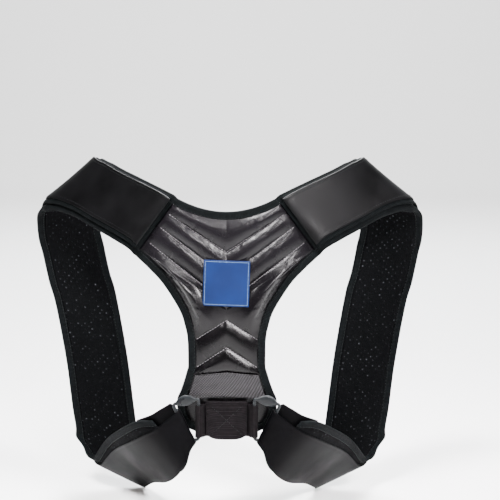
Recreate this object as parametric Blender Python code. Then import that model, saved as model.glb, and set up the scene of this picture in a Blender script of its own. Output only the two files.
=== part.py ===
"""Posture corrector: a quilted back panel with two padded shoulder loops.

Metres, +Z up. The origin is on the body side of the back panel, between the
shoulder blades. The wearer faces +Y, so -Y is the outer side of the back.
Each loop leaves a wing of the panel, rolls over the shoulder, comes down the
front, folds under the arm and returns to a ring beside the foot tab.
"""
import math

import bmesh
import bpy
from mathutils import Vector

# Back panel
WING_X = 0.0918            # half breadth of the panel at the lower corner of a wing
WING_Z = 0.0432            # the same corner above the origin
PANEL_UP = 0.0890          # lowest point of the neck edge above the origin
PANEL_DOWN = 0.1340        # foot edge below the origin
WAIST_X = 0.0390           # half breadth at the waist
WING_END = 0.0727          # length of a wing's end line
WING_END_TILT = 53.8       # degrees that the end line stands from the horizontal
BACK_CURVE = 0.0130        # how far the wings bend forward round the back
NECK_LEAN = 0.0013         # how far the neck edge leans forward
PANEL_WALL = 0.0035        # thickness at a stitched channel
PUFF = 0.0038              # height of the padding between two channels
RIDGE = 0.0030             # height of the padded ridge along an armhole

# Bound edges
BINDING_WIDTH = 0.0085
BINDING_THICK = 0.0054
SEAM_GAP = 0.0003          # clearance between pieces that are sewn together

# Shoulder loops
STRAP_WIDTH = 0.0670
PAD_THICK = 0.0060
SIDE_REACH = 0.1037        # from a wing's end to the outermost run of a loop
FRONT_REACH = 0.1330       # from a wing's end to the front run
DROP = 0.2820              # from a wing's end down to the lowest fold
FOLD_RADIUS = 0.0070       # middle of the pad round the fold under the arm
FOLD_SIDE = 0.515          # middle of the fold, a share of SIDE_REACH
FOLD_FRONT = 0.827         # the same, a share of FRONT_REACH
FOLD_SLOPE = 27.0          # degrees that the fold line falls towards the middle
FOLD_TURN = 125.0          # degrees of the turn round the fold line
FOLD_STEPS = 4
FOLD_DRIFT = 0.0074        # how far the run slides along the fold line in a quarter turn
FOLD_WIDE = 0.95           # share of STRAP_WIDTH that the pad keeps in the fold
LOOP_STEP = 0.0155         # length between two stations of a loop's layers
CREST_STEP = 0.0085        # the same over the shoulder
FOLD_STEP = 0.0052         # the same round the fold
PAD_ROOM = 0.0008          # room between the pad and the bound edges beside it
FOLD_EASE = 0.0014         # more room there, where the pad twists in the fold
END_ROUND = 0.0100         # how far the pad's end corner is drawn in
PAD_FLAT = 0.25            # share that the pad thins towards its edges

# Layers that lie on the outer face of a loop
BACKING_WIDTH = 0.0590
BACKING_THICK = 0.0036
COVER_WIDTH = 0.0530
COVER_THICK = 0.0018
TAPE_WIDTH = 0.0080
TAPE_THICK = 0.0012

# Under-arm band, which runs through the ring and back over the pad
BAND_WIDTH = 0.0500
BAND_THICK = 0.0018
BAND_OVERLAP = 0.0180      # length of the band's far layer on the pad's inner face
BAND_EASE = 0.45           # stations in which a layer closes in on the ring's bar
BAND_TURNS = 6             # steps of the band's half turn round the ring's bar

# Ring, its webbing loop and the foot tab
RING_BAR = 0.0032
RING_TOP = 0.0235          # inner end of the top bar above the ring's middle
RING_FALL = 0.0062         # how far the top bar falls to its outer end
RING_BREADTH = 0.0258      # from the inner bar to the outer end of the top bar
RING_FOOT = 0.0190         # bottom bar below the ring's middle
RING_FOOT_BREADTH = 0.0091
RING_BLADE = 0.0110        # height of the broad, leaf-shaped top bar
RING_SWELL = 0.26          # share of the blade's extra height that stands outside
RING_CORNER = 0.0032
RING_CORNER_STEPS = 3
RING_BLADE_STEPS = 4
RING_SIDES = 8
RING_X = 0.0280            # inner bar of a ring from the middle
RING_Z = 0.1215            # middle of a ring below the origin
RING_STANDOFF = 0.0042     # inner bar in front of the panel's face
TURN_SIDE = 0.0156         # where the band's middle turns, outside the inner bar
TURN_UP = 0.0047           # the same, above the ring's middle
WEB_THICK = 0.0014
WEB_HEIGHT = 0.0330
WEB_CLEAR = 0.0006         # room between the inner bar and the webbing round it
WEB_HEM = 0.0114           # where the webbing's ends lie under the tab, from the middle
WEB_SEAT = 0.0006          # room between the panel and the webbing
TAB_HALF = 0.0208
TAB_HEIGHT = 0.0400
TAB_THICK = 0.0020
TAB_RISE = 0.0040          # the tab's top edge above the webbing
TAB_CURVE = 0.0060         # how far the tab's lower edge rises at its corners

# Knit section and label
KNIT_THICK = 0.0010
KNIT_REACH = 0.985         # share of the panel's half breadth that the knit covers
KNIT_FOOT = 0.5            # rows that the knit runs on below its first row
LABEL_SIZE = 0.0460
LABEL_THICK = 0.0008
LABEL_Z = 0.0180
LABEL_TURN = 2.0

# Rows of the right half of the panel, from the foot to the neck.
# centre: height on the middle line, a share of PANEL_UP above the origin and of
# PANEL_DOWN below it. edge_x and edge_z: the outer edge, shares of WAIST_X and of
# the same heights. end: the outer edge on a wing, a share along the wing's end.
# puff: padding between channels. ridge: padding along the armhole.
FOOT_ROWS = (
    # name           centre   edge_x  edge_z   puff  ridge
    ("foot",         -1.015,  0.73,   -1.015,  0.0,  0.0),
    ("corner",       -0.965,  1.08,   -0.965,  0.0,  0.0),
    ("side",         -0.870,  1.26,   -0.870,  0.0,  0.0),
    ("flare",        -0.765,  1.29,   -0.765,  0.0,  0.0),
    ("knit_foot",    -0.700,  1.20,   -0.695,  0.0,  0.0),
    ("knit_middle",  -0.625,  1.11,   -0.620,  0.0,  0.0),
    ("seam",         -0.545,  1.04,   -0.550,  0.0,  0.0),
    ("low_puff",     -0.455,  1.02,   -0.530,  1.0,  0.0),
    ("low_peak",     -0.356,  1.00,   -0.505,  0.0,  0.0),
    ("mid_puff",     -0.250,  1.00,   -0.400,  1.0,  0.0),
    ("high_peak",    -0.148,  1.01,   -0.300,  0.0,  0.0),
    ("hollow",       -0.115,  1.06,   -0.215,  0.3,  0.4),
    ("ridge_start",  -0.090,  1.21,   -0.080,  0.3,  0.9),
    ("ridge_middle", -0.070,  1.62,   0.165,   0.3,  1.0),
    ("ridge_top",    -0.055,  1.98,   0.335,   0.2,  0.8),
)
WING_ROWS = (
    # name           centre   end     puff  ridge
    ("wing_corner",  -0.045,  0.00,   0.1,  0.5),
    ("low_vee",      -0.020,  0.20,   0.0,  0.0),
    ("low_pad",      0.120,   0.38,   1.0,  0.0),
    ("mid_vee",      0.270,   0.55,   0.0,  0.0),
    ("mid_pad",      0.405,   0.70,   1.0,  0.0),
    ("top_vee",      0.545,   0.83,   0.0,  0.0),
    ("top_pad",      0.740,   0.93,   0.9,  0.0),
    ("neck",         1.000,   1.00,   0.0,  0.0),
)
PANEL_STEPS = 2            # steps between two rows of the panel
PANEL_COLUMNS = 14
SEARCH_STEPS = 12          # trial places for each station when they are spread out

# Stations of the left loop's middle line, from the wing's end to the ring.
# side: share of SIDE_REACH outwards from the wing's end. front: share of
# FRONT_REACH forwards. down: share of DROP, negative above the wing's end.
# across_x, across_y, across_z: direction of the strap's width, from the armhole
# edge to the neck edge. wide: share of STRAP_WIDTH, square to the run.
LOOP_ROWS = (
    # name        side    front   down     across_x across_y across_z  wide
    ("cover_end", 0.095,  0.025,  -0.026,  0.59,    0.03,    0.80,     1.03),
    ("rise",      0.470,  0.262,  -0.083,  0.61,    -0.03,   0.79,     1.00),
    ("shoulder",  0.705,  0.436,  -0.115,  0.68,    -0.03,   0.74,     1.00),
    ("crest",     0.883,  0.586,  -0.120,  0.75,    -0.03,   0.66,     1.00),
    ("over",      0.965,  0.759,  -0.066,  0.88,    0.06,    0.47,     1.00),
    ("chest",     0.997,  0.883,  0.059,   0.99,    0.11,    0.06,     1.00),
    ("front_1",   0.962,  0.944,  0.148,   1.00,    0.07,    0.00,     1.00),
    ("front_2",   0.913,  0.974,  0.246,   1.00,    0.04,    0.00,     1.00),
    ("front_3",   0.841,  0.989,  0.355,   1.00,    0.04,    0.00,     1.00),
    ("front_4",   0.739,  0.985,  0.578,   1.00,    0.06,    -0.01,    1.00),
    ("front_5",   0.669,  0.947,  0.780,   0.99,    0.08,    -0.09,    1.00),
    ("front_6",   0.620,  0.915,  0.890,   0.95,    0.05,    -0.29,    0.96),
)
# Stations after the fold. towards: share of the way from the fold to the ring,
# sideways. back: the same share, backwards. lift: the same share, upwards.
UNDER_ROWS = (
    # name        towards  back    lift    across_x across_y across_z  wide
    ("under_1",   0.19,    0.320,  0.270,  0.79,    -0.06,   -0.61,    0.97),
    ("under_2",   0.40,    0.620,  0.465,  0.72,    -0.10,   -0.69,    0.98),
    ("under_3",   0.59,    0.840,  0.640,  0.65,    -0.09,   -0.75,    0.90),
    ("pad_end",   0.74,    0.950,  0.770,  0.57,    -0.05,   -0.82,    0.78),
    ("bar",       0.88,    0.985,  0.900,  0.48,    -0.02,   -0.88,    0.64),
)
RING_ACROSS = (0.43, 0.00, -0.90)
RING_GATHER = 0.58         # share of STRAP_WIDTH that the run keeps at the ring
BAND_EDGE_FOLD = -0.70     # the band's upper edge across the strap, at the fold
BAND_EDGE_RING = -0.42     # the same at the ring
BAND_CLEAR = 0.0020        # room between the ring's bar and the band round it
COVER_LAST = "front_2"     # the cover ends here on the hidden front face
BAND_LAST = "front_4"      # the under-arm band ends here on the hidden front face

COLOURS = {
    # name        red    green  blue   rough  metal
    "leather":   (0.040, 0.034, 0.042, 0.38,  0.0),
    "binding":   (0.020, 0.024, 0.026, 0.85,  0.0),
    "mesh":      (0.012, 0.012, 0.015, 0.90,  0.0),
    "smooth":    (0.028, 0.028, 0.032, 0.55,  0.0),
    "knit":      (0.045, 0.042, 0.046, 0.80,  0.0),
    "webbing":   (0.030, 0.028, 0.032, 0.75,  0.0),
    "plastic":   (0.030, 0.033, 0.035, 0.35,  0.0),
    "label":     (0.010, 0.110, 0.420, 0.45,  0.0),
}


def clear_scene():
    """Remove whatever the scene holds."""
    for obj in list(bpy.data.objects):
        bpy.data.objects.remove(obj, do_unlink=True)


def material(name):
    """A Principled material in one of the part's colours."""
    found = bpy.data.materials.get(name)
    if found:
        return found
    red, green, blue, rough, metal = COLOURS[name]
    made = bpy.data.materials.new(name)
    made.use_nodes = True
    shader = made.node_tree.nodes["Principled BSDF"]
    shader.inputs["Base Color"].default_value = (red, green, blue, 1.0)
    shader.inputs["Roughness"].default_value = rough
    shader.inputs["Metallic"].default_value = metal
    made.diffuse_color = (red, green, blue, 1.0)
    return made


def spline(points, t):
    """Point at t, counted in stations, on a smooth curve through the points."""
    last = len(points) - 1
    i = min(int(t), last - 1)
    f = t - i
    b, c = points[i], points[i + 1]
    a = points[i - 1] if i > 0 else b * 2 - c
    d = points[i + 2] if i + 2 <= last else c * 2 - b
    return b + ((c - a) + ((a * 2 - b * 5 + c * 4 - d)
                + (b * 3 - c * 3 + d - a) * f) * f) * (f / 2)


def lerp(a, b, t):
    """The value a share t of the way from a to b."""
    return a + (b - a) * t


def face_out(bm):
    """Turn the faces of a closed mesh outwards."""
    bmesh.ops.recalc_face_normals(bm, faces=bm.faces)
    if bm.calc_volume(signed=True) < 0:
        bmesh.ops.reverse_faces(bm, faces=bm.faces)


def slab(name, finish, columns, rows, place, collection):
    """A closed sheet: a grid, extruded, with both faces placed by a function.

    place(u, v, face) gives the point at shares u and v of the sheet, on its
    outer face when face is 1 and on its inner face when face is 0.
    """
    mesh = bpy.data.meshes.new(name)
    bm = bmesh.new()
    bmesh.ops.create_grid(bm, x_segments=columns, y_segments=rows, size=0.5)
    flat = list(bm.faces)
    made = bmesh.ops.extrude_face_region(bm, geom=flat, use_keep_orig=True)
    outer = {item for item in made["geom"] if isinstance(item, bmesh.types.BMVert)}
    for vert in bm.verts:
        u, v = vert.co.x + 0.5, vert.co.y + 0.5
        vert.co = place(u, v, 1 if vert in outer else 0)
    face_out(bm)
    bm.to_mesh(mesh)
    bm.free()
    mesh.shade_smooth()
    mesh.set_sharp_from_angle(angle=math.radians(50))
    mesh.materials.append(material(finish))
    obj = bpy.data.objects.new(name, mesh)
    collection.objects.link(obj)
    return obj


# The back panel's surface

def panel_height(share):
    """A share of the panel's height, up or down from the origin."""
    return share * (PANEL_UP if share > 0 else PANEL_DOWN)


def wing_corner():
    """Lower corner of the right wing, as x and z."""
    return Vector((WING_X, WING_Z))


def wing_end(share):
    """Point on the right wing's end line, from its lower to its upper corner."""
    tilt = math.radians(WING_END_TILT)
    return wing_corner() + Vector((-math.cos(tilt), math.sin(tilt))) * (WING_END * share)


def wing_inner(share):
    """Point on the same line, between the bound edges at its two corners."""
    inset = (BINDING_WIDTH + SEAM_GAP) / WING_END
    return wing_end(lerp(inset, 1 - inset, share))


def panel_rows():
    """Names, middle heights, outer edge points and padding of the panel's rows."""
    names, rows = [], []
    for name, centre, edge_x, edge_z, puff, ridge in FOOT_ROWS:
        names.append(name)
        rows.append((panel_height(centre), edge_x * WAIST_X, panel_height(edge_z),
                     puff, ridge))
    for name, centre, end, puff, ridge in WING_ROWS:
        edge = wing_inner(end)
        names.append(name)
        rows.append((panel_height(centre), edge.x, edge.y, puff, ridge))
    return names, rows


ROW_NAMES, ROWS = panel_rows()
ROW_CENTRES = [Vector((0.0, row[0])) for row in ROWS]
ROW_EDGES = [Vector((row[1], row[2])) for row in ROWS]
CORNER_ROW = ROW_NAMES.index("wing_corner")
NECK_ROW = len(ROWS) - 1
ARMHOLE = ROW_EDGES[:CORNER_ROW] + [wing_corner()]


def bend(x, z):
    """How far forward the panel's body side lies at x and z."""
    forward = BACK_CURVE * (x / WING_X) ** 2
    return forward + NECK_LEAN * max(z / PANEL_UP, 0.0)


def neck_edge(u):
    """Outer edge of the neck at a share u from the middle to the wing."""
    middle, end = Vector((0.0, PANEL_UP)), wing_end(1.0)
    point = lerp(middle, end, u)
    point.y -= (end.y - middle.y) * u * (1 - u)
    return point


def neck_inward(u):
    """Direction from the neck edge into the panel, as x and z."""
    end = (wing_end(0.0) - wing_end(1.0)).normalized()
    return lerp(Vector((0.0, -1.0)), end, u).normalized()


def inset_edge(row):
    """The panel's own edge on a row, inside the bound edge or the wing's end."""
    if row >= CORNER_ROW:
        return spline(ROW_EDGES[CORNER_ROW:], row - CORNER_ROW)
    end = (wing_end(1.0) - wing_end(0.0)).normalized()
    ahead = spline(ARMHOLE, min(row + 0.1, CORNER_ROW))
    behind = spline(ARMHOLE, max(row - 0.1, 0.0))
    along = (ahead - behind).normalized()
    inward = Vector((-along.y, along.x))
    inward = lerp(inward, end, max(row - CORNER_ROW + 1, 0.0)).normalized()
    return spline(ARMHOLE, row) + inward * (BINDING_WIDTH + SEAM_GAP)


def to_world(point, offset):
    """A point of the panel, set offset outwards from its body side."""
    return Vector((point.x, bend(point.x, point.y) - offset, point.y))


def padding(u, row):
    """Thickness of the panel at a share u of its half breadth, on a row."""
    low = min(int(row), NECK_ROW - 1)
    f = row - low
    puff = lerp(ROWS[low][3], ROWS[low + 1][3], f)
    ridge = lerp(ROWS[low][4], ROWS[low + 1][4], f)
    puff = 1 - (1 - puff) ** 2
    fade = 1 - abs(u) ** 6
    crest = math.sin(math.pi * min(abs(u), 1.0) ** 1.6) ** 2
    return PANEL_WALL + PUFF * puff * fade + RIDGE * ridge * crest


def panel_point(u, v, face):
    """A point of the padded panel; u and v are shares across and up."""
    across = 2 * u - 1
    row = v * NECK_ROW
    share = abs(across)
    point = lerp(spline(ROW_CENTRES, row), inset_edge(row), share)
    neck = neck_edge(share) + neck_inward(share) * (BINDING_WIDTH + SEAM_GAP)
    top = lerp(ROW_CENTRES[NECK_ROW], ROW_EDGES[NECK_ROW], share)
    first = ROW_NAMES.index("top_vee")
    point += (neck - top) * max(row - first, 0.0) / (NECK_ROW - first)
    thick = padding(across, row) if face else 0.0
    point = to_world(point, thick)
    point.x = math.copysign(point.x, across)
    return point


# The loop's middle line, its width and its faces, worked out for the left side

def loop_stations():
    """Names, middle points, directions across and widths along the left loop."""
    corner, top = wing_end(0.0), wing_end(1.0)
    low = to_world(Vector((-corner.x, corner.y)), PANEL_WALL / 2)
    high = to_world(Vector((-top.x, top.y)), PANEL_WALL / 2)
    start = (low + high) / 2
    names = ["wing"]
    middles = [start]
    acrosses = [(high - low).normalized()]
    widths = [(high - low).length]
    for name, side, front, down, ax, ay, az, wide in LOOP_ROWS:
        names.append(name)
        middles.append(start + Vector((-side * SIDE_REACH, front * FRONT_REACH, -down * DROP)))
        acrosses.append(Vector((ax, ay, az)).normalized())
        widths.append(wide * STRAP_WIDTH)

    slope = math.radians(FOLD_SLOPE)
    fold = Vector((math.cos(slope), 0.0, -math.sin(slope)))
    inward = Vector((math.sin(slope), 0.0, math.cos(slope)))
    axis = start + Vector((-FOLD_SIDE * SIDE_REACH, FOLD_FRONT * FRONT_REACH, -DROP))
    axis += inward * FOLD_RADIUS
    for step in range(FOLD_STEPS + 1):
        turn = math.radians(FOLD_TURN) * step / FOLD_STEPS
        names.append("fold_%d" % step)
        middles.append(axis + Vector((0.0, math.cos(turn), 0.0)) * FOLD_RADIUS
                       - inward * math.sin(turn) * FOLD_RADIUS
                       + fold * FOLD_DRIFT * (2 * turn / math.pi - 1))
        acrosses.append(fold.copy())
        widths.append(FOLD_WIDE * STRAP_WIDTH)

    leave = middles[-1].copy()
    arrive = ring_turn()
    for name, towards, back, lift, ax, ay, az, wide in UNDER_ROWS:
        names.append(name)
        middles.append(Vector((lerp(leave.x, arrive.x, towards),
                               lerp(leave.y, arrive.y, back),
                               lerp(leave.z, arrive.z, lift))))
        acrosses.append(Vector((ax, ay, az)).normalized())
        widths.append(wide * STRAP_WIDTH)
    names.append("ring")
    middles.append(arrive)
    acrosses.append(Vector(RING_ACROSS).normalized())
    widths.append(RING_GATHER * STRAP_WIDTH)
    return names, middles, acrosses, widths


def ring_face():
    """How far the ring's middle stands in front of the panel's body side."""
    return PANEL_WALL + PUFF + RING_STANDOFF


def ring_turn():
    """Middle of the loop where the under-arm band turns in the left ring."""
    outer = RING_X + TURN_SIDE
    return Vector((-outer, -ring_face() - RING_BAR / 2, -RING_Z + TURN_UP))


NAMES, MIDDLES, ACROSSES, WIDTHS = loop_stations()
LAST = len(NAMES) - 1
WIDTH_POINTS = [Vector((width, 0.0)) for width in WIDTHS]


def station(name):
    """Place of a named station along the loop."""
    return float(NAMES.index(name))


def loop_frame(s):
    """Middle point, half-width vector and outer direction at s, in stations."""
    s = min(max(s, 0.0), LAST)
    step = 0.02
    middle = spline(MIDDLES, s)
    along = spline(MIDDLES, min(s + step, LAST)) - spline(MIDDLES, max(s - step, 0.0))
    along.normalize()
    across = spline(ACROSSES, s).normalized()
    square = across.cross(along)
    half = spline(WIDTH_POINTS, s).x / 2 / max(square.length, 0.5)
    if s < 1.0:
        half = lerp(WIDTHS[0] / 2, half, s)
    return middle, across * half, square.normalized()


def loop_point(s, w, n, mirror):
    """A point of a loop: w is -1 at the armhole edge and 1 at the neck edge."""
    middle, half, out = loop_frame(s)
    point = middle + half * w + out * n
    if mirror:
        point.x = -point.x
    return point


def step_at(s):
    """Length between two stations of the loop's layers near s."""
    if station("front_6") - 0.5 < s < station("under_1"):
        return FOLD_STEP
    if station("shoulder") - 0.5 < s < station("chest"):
        return CREST_STEP
    return LOOP_STEP


def even_stations(first, last, count):
    """count + 1 places from first to last, closer where the loop turns."""
    fine = SEARCH_STEPS * count
    places = [lerp(first, last, i / fine) for i in range(fine + 1)]
    points = [loop_frame(s)[0] for s in places]
    runs = [0.0]
    for s, a, b in zip(places, points, points[1:]):
        runs.append(runs[-1] + (b - a).length / step_at(s))
    chosen = []
    j = 0
    for i in range(count + 1):
        goal = runs[-1] * i / count
        while j < fine - 1 and runs[j + 1] < goal:
            j += 1
        share = (goal - runs[j]) / (runs[j + 1] - runs[j])
        chosen.append(lerp(places[j], places[j + 1], share))
    return chosen


def loop_places():
    """Stations of every layer of a loop, from the wing to the ring."""
    steps = sum((b - a).length / step_at(i + 0.5)
                for i, (a, b) in enumerate(zip(MIDDLES, MIDDLES[1:])))
    first = 3 * SEAM_GAP / (MIDDLES[1] - MIDDLES[0]).length
    return even_stations(first, LAST, round(steps))


PLACES = loop_places()


def places_between(first, last):
    """The loop's stations from one named station to another."""
    low, high = station(first), station(last)
    return [s for s in PLACES if low - 0.5 < s < high + 0.3]


def pad_places():
    """The loop's stations that the pad and its bound edges take."""
    return [s for s in PLACES if s <= station("pad_end")]


def end_round(s):
    """Share that the armhole edge is drawn in by, near the pad's end."""
    first = station("under_3") - 0.3
    share = max(s - first, 0.0) / (station("pad_end") - first)
    return 2 * END_ROUND / STRAP_WIDTH * share ** 2


def fold_ease(s):
    """Share that the pad is narrowed by at each edge, where it twists in the fold."""
    middle = (station("fold_0") + station("under_1")) / 2
    reach = middle - station("front_6") + 0.5
    share = max(1 - ((s - middle) / reach) ** 2, 0.0)
    return 2 * FOLD_EASE / STRAP_WIDTH * math.sqrt(share)


def loop_slab(name, finish, mirror, places, columns, edges, low, high, collection):
    """A sheet that follows a loop, between two shares across and two offsets.

    edges gives the sheet's armhole and neck edge, as shares across, at a station.
    low and high give the inner and outer offset at a share across of the sheet.
    """
    rows = len(places) - 1

    def place(u, v, face):
        s = places[round(v * rows)]
        offset = high(u) if face else low(u)
        return loop_point(s, lerp(*edges(s), u), offset, mirror)

    return slab(name, finish, columns, rows, place, collection)


def build_panel(collection):
    """The quilted back panel, its knit section and its bare label."""
    slab("back_panel", "leather", PANEL_COLUMNS, NECK_ROW * PANEL_STEPS,
         panel_point, collection)

    low, high = ROW_NAMES.index("knit_foot"), ROW_NAMES.index("seam")

    def knit(u, v, face):
        row = lerp(low - KNIT_FOOT, high, v)
        across = 2 * u - 1
        edge = inset_edge(row)
        centre = spline(ROW_CENTRES, row)
        point = lerp(centre, edge, abs(across) * KNIT_REACH)
        lift = PANEL_WALL + SEAM_GAP + KNIT_THICK * face
        point = to_world(point, lift)
        point.x = math.copysign(point.x, across)
        return point

    slab("knit_section", "knit", 10, 4, knit, collection)

    turn = math.radians(LABEL_TURN)

    def label(u, v, face):
        x, z = (u - 0.5) * LABEL_SIZE, (v - 0.5) * LABEL_SIZE
        point = Vector((x * math.cos(turn) + z * math.sin(turn),
                        LABEL_Z + z * math.cos(turn) - x * math.sin(turn)))
        lift = PANEL_WALL + PUFF + 1.5 * SEAM_GAP + LABEL_THICK * face
        return to_world(point, lift)

    slab("label", "label", 6, 2, label, collection)


def binding_share(u):
    """Spread of a bound edge's columns, closer towards its free side."""
    return 1 - (1 - u) ** 2


def binding_profile(u):
    """Half thickness of a bound edge at a share u from its sewn to its free side."""
    return BINDING_THICK / 2 * (1.0 if u < 0.9 else 0.5)


def build_bindings(collection):
    """Bound edges: round the neck, and down each armhole edge and loop edge."""
    share = 1 - 2 * BINDING_WIDTH / STRAP_WIDTH
    middle = PANEL_WALL / 2

    def neck(u, v, face):
        across = 2 * v - 1
        share = abs(across)
        u = binding_share(u)
        outer = neck_edge(share) + neck_inward(share) * BINDING_WIDTH * (1 - u)
        half = binding_profile(u)
        point = to_world(outer, middle + (half if face else -half))
        point.x = math.copysign(point.x, across)
        return point

    slab("neck_binding", "binding", 2, PANEL_COLUMNS, neck, collection)

    places = pad_places()
    edge_rows = [i / PANEL_STEPS for i in range(CORNER_ROW * PANEL_STEPS + 1)]
    count = len(edge_rows) + len(places) - 2
    for side, mirror in (("left", False), ("right", True)):

        def armhole(u, v, face):
            i = round(v * count)
            u = binding_share(u)
            half = binding_profile(u)
            offset = half if face else -half
            if i < len(edge_rows):
                row = edge_rows[i]
                inner = inset_edge(row)
                outer = spline(ARMHOLE, row)
                inner = lerp(inner, outer, SEAM_GAP / BINDING_WIDTH)
                point = to_world(lerp(inner, outer, u), middle + offset)
                if not mirror:
                    point.x = -point.x
                return point
            s = places[i - len(edge_rows) + 1]
            return loop_point(s, -lerp(share, 1.0, u) + end_round(s), offset, mirror)

        slab("armhole_binding_" + side, "binding", 2, count, armhole, collection)

        def inner_edge(u, v, face):
            s = places[round(v * (len(places) - 1))]
            u = binding_share(u)
            half = binding_profile(u)
            return loop_point(s, lerp(share, 1.0, u), half if face else -half, mirror)

        slab("loop_binding_" + side, "binding", 2, len(places) - 1,
             inner_edge, collection)


def build_loop(side, mirror, collection):
    """The padded strap, its cover and backing, the tape and the under-arm band."""
    edge = 1 - 2 * (BINDING_WIDTH + PAD_ROOM) / STRAP_WIDTH
    pad_half = PAD_THICK / 2

    def swell(u):
        return pad_half * (1 - PAD_FLAT * abs(2 * u - 1) ** 3)

    loop_slab("shoulder_strap_" + side, "mesh", mirror, pad_places(), 2,
              lambda s: (-edge + end_round(s) + fold_ease(s), edge - fold_ease(s)),
              lambda u: -swell(u), swell, collection)

    base = pad_half + SEAM_GAP * 1.5
    top = base + BACKING_THICK
    wide = BACKING_WIDTH / STRAP_WIDTH
    covered = places_between("cover_end", COVER_LAST)
    loop_slab("cover_backing_" + side, "binding", mirror, covered, 3,
              lambda s: (-wide, wide), lambda u: base, lambda u: top, collection)
    face = top + SEAM_GAP
    cover = COVER_WIDTH / STRAP_WIDTH
    loop_slab("shoulder_cover_" + side, "smooth", mirror, covered, 3,
              lambda s: (-cover, cover), lambda u: face, lambda u: face + COVER_THICK,
              collection)

    # the tape lies on the strap, next to the seam between the wing and the strap
    lift = pad_half + SEAM_GAP
    wing_run = (MIDDLES[1] - MIDDLES[0]).length
    tape = even_stations(PLACES[0], PLACES[0] + TAPE_WIDTH / wing_run, 2)
    loop_slab("wing_tape_" + side, "webbing", mirror, tape, 4, lambda s: (-edge, edge),
              lambda u: lift, lambda u: lift + TAPE_THICK, collection)


def build_band(side, mirror, collection):
    """The under-arm band: from the pad's end, through the ring, back over the pad."""
    pad_end = station("pad_end")
    ring = station("ring")
    pad_half = PAD_THICK / 2
    offset = pad_half + SEAM_GAP * 1.5 + BAND_THICK / 2
    turn_offset = RING_BAR / 2 + BAND_CLEAR + BAND_THICK / 2
    run = (MIDDLES[-1] - MIDDLES[-2]).length

    def side_offset(s):
        """Offset of a layer that leaves the pad and closes on the ring's bar."""
        share = min(max((s - pad_end + 0.2) / BAND_EASE, 0.0), 1.0)
        share = share * share * (3 - 2 * share)
        return lerp(offset, turn_offset, share)

    turn_at = ring - turn_offset / run
    overlap = BAND_OVERLAP / (MIDDLES[-2] - MIDDLES[-3]).length
    path = []
    for s in PLACES:
        if pad_end - overlap < s < turn_at - 0.05:
            path.append((s, -side_offset(s)))
    for step in range(1, BAND_TURNS):
        angle = math.pi * step / BAND_TURNS
        path.append((turn_at + math.sin(angle) * turn_offset / run,
                     -math.cos(angle) * turn_offset))
    for s in reversed(PLACES):
        if station(BAND_LAST) < s < turn_at - 0.05:
            path.append((s, side_offset(s)))

    count = len(path) - 1
    fold_end = station("fold_%d" % FOLD_STEPS)

    def upper_edge(s):
        """Share across the strap of the band's upper edge at s."""
        share = min(max((s - fold_end) / (pad_end - fold_end), 0.0), 1.0)
        return lerp(BAND_EDGE_FOLD, BAND_EDGE_RING, share ** 0.7)

    def place(u, v, face):
        i = round(v * count)
        s, n = path[i]
        before, after = path[max(i - 1, 0)], path[min(i + 1, count)]
        ds = (after[0] - before[0]) * run
        dn = after[1] - before[1]
        length = math.hypot(ds, dn)
        push = BAND_THICK / 2 * (1 if face else -1)
        s += push * dn / length / run
        n -= push * ds / length
        w = upper_edge(s) + 2 * BAND_WIDTH / STRAP_WIDTH * u
        return loop_point(s, w, n, mirror)

    slab("underarm_band_" + side, "smooth", 3, count, place, collection)


def ring_outline():
    """The middle line round a ring, each point with its share of the blade's height."""
    corners = [Vector((0.0, RING_TOP)), Vector((RING_BREADTH, RING_TOP - RING_FALL)),
               Vector((RING_FOOT_BREADTH, -RING_FOOT)), Vector((0.0, -RING_FOOT))]
    around = []
    for i, corner in enumerate(corners):
        following = corners[(i + 1) % len(corners)]
        start = corner + (corners[i - 1] - corner).normalized() * RING_CORNER
        ahead = (following - corner).normalized() * RING_CORNER
        for step in range(RING_CORNER_STEPS + 1):
            t = step / RING_CORNER_STEPS
            around.append((lerp(lerp(start, corner, t), lerp(corner, corner + ahead, t), t), 0.0))
        for step in range(1, RING_BLADE_STEPS if i == 0 else 1):
            t = step / RING_BLADE_STEPS
            around.append((lerp(corner + ahead, following - ahead, t), 4 * t * (1 - t)))
    return around


def build_ring(side, sign, collection):
    """A ring with a leaf-shaped top bar and a slanted outer bar."""
    name = "ring_" + side
    around = ring_outline()
    count = len(around)

    def place(u, v):
        i = round(v * count) % count
        point, blade = around[i]
        along = (around[(i + 1) % count][0] - around[i - 1][0]).normalized()
        outward = Vector((-along.y, along.x))
        tall = lerp(RING_BAR, RING_BLADE, blade) / 2
        angle = 2 * math.pi * u + math.pi / RING_SIDES
        out = math.cos(angle) * tall + (tall - RING_BAR / 2) * RING_SWELL
        deep = math.sin(angle) * RING_BAR / 2
        flat = point + outward * out
        return Vector((sign * (RING_X + flat.x), deep - ring_face(), flat.y - RING_Z))

    mesh = bpy.data.meshes.new(name)
    bm = bmesh.new()
    bmesh.ops.create_grid(bm, x_segments=RING_SIDES, y_segments=count, size=0.5)
    for vert in bm.verts:
        vert.co = place(vert.co.x + 0.5, vert.co.y + 0.5)
    bmesh.ops.remove_doubles(bm, verts=bm.verts, dist=0.00001)
    face_out(bm)
    bm.to_mesh(mesh)
    bm.free()
    mesh.shade_smooth()
    mesh.materials.append(material("plastic"))
    obj = bpy.data.objects.new(name, mesh)
    collection.objects.link(obj)


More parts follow.
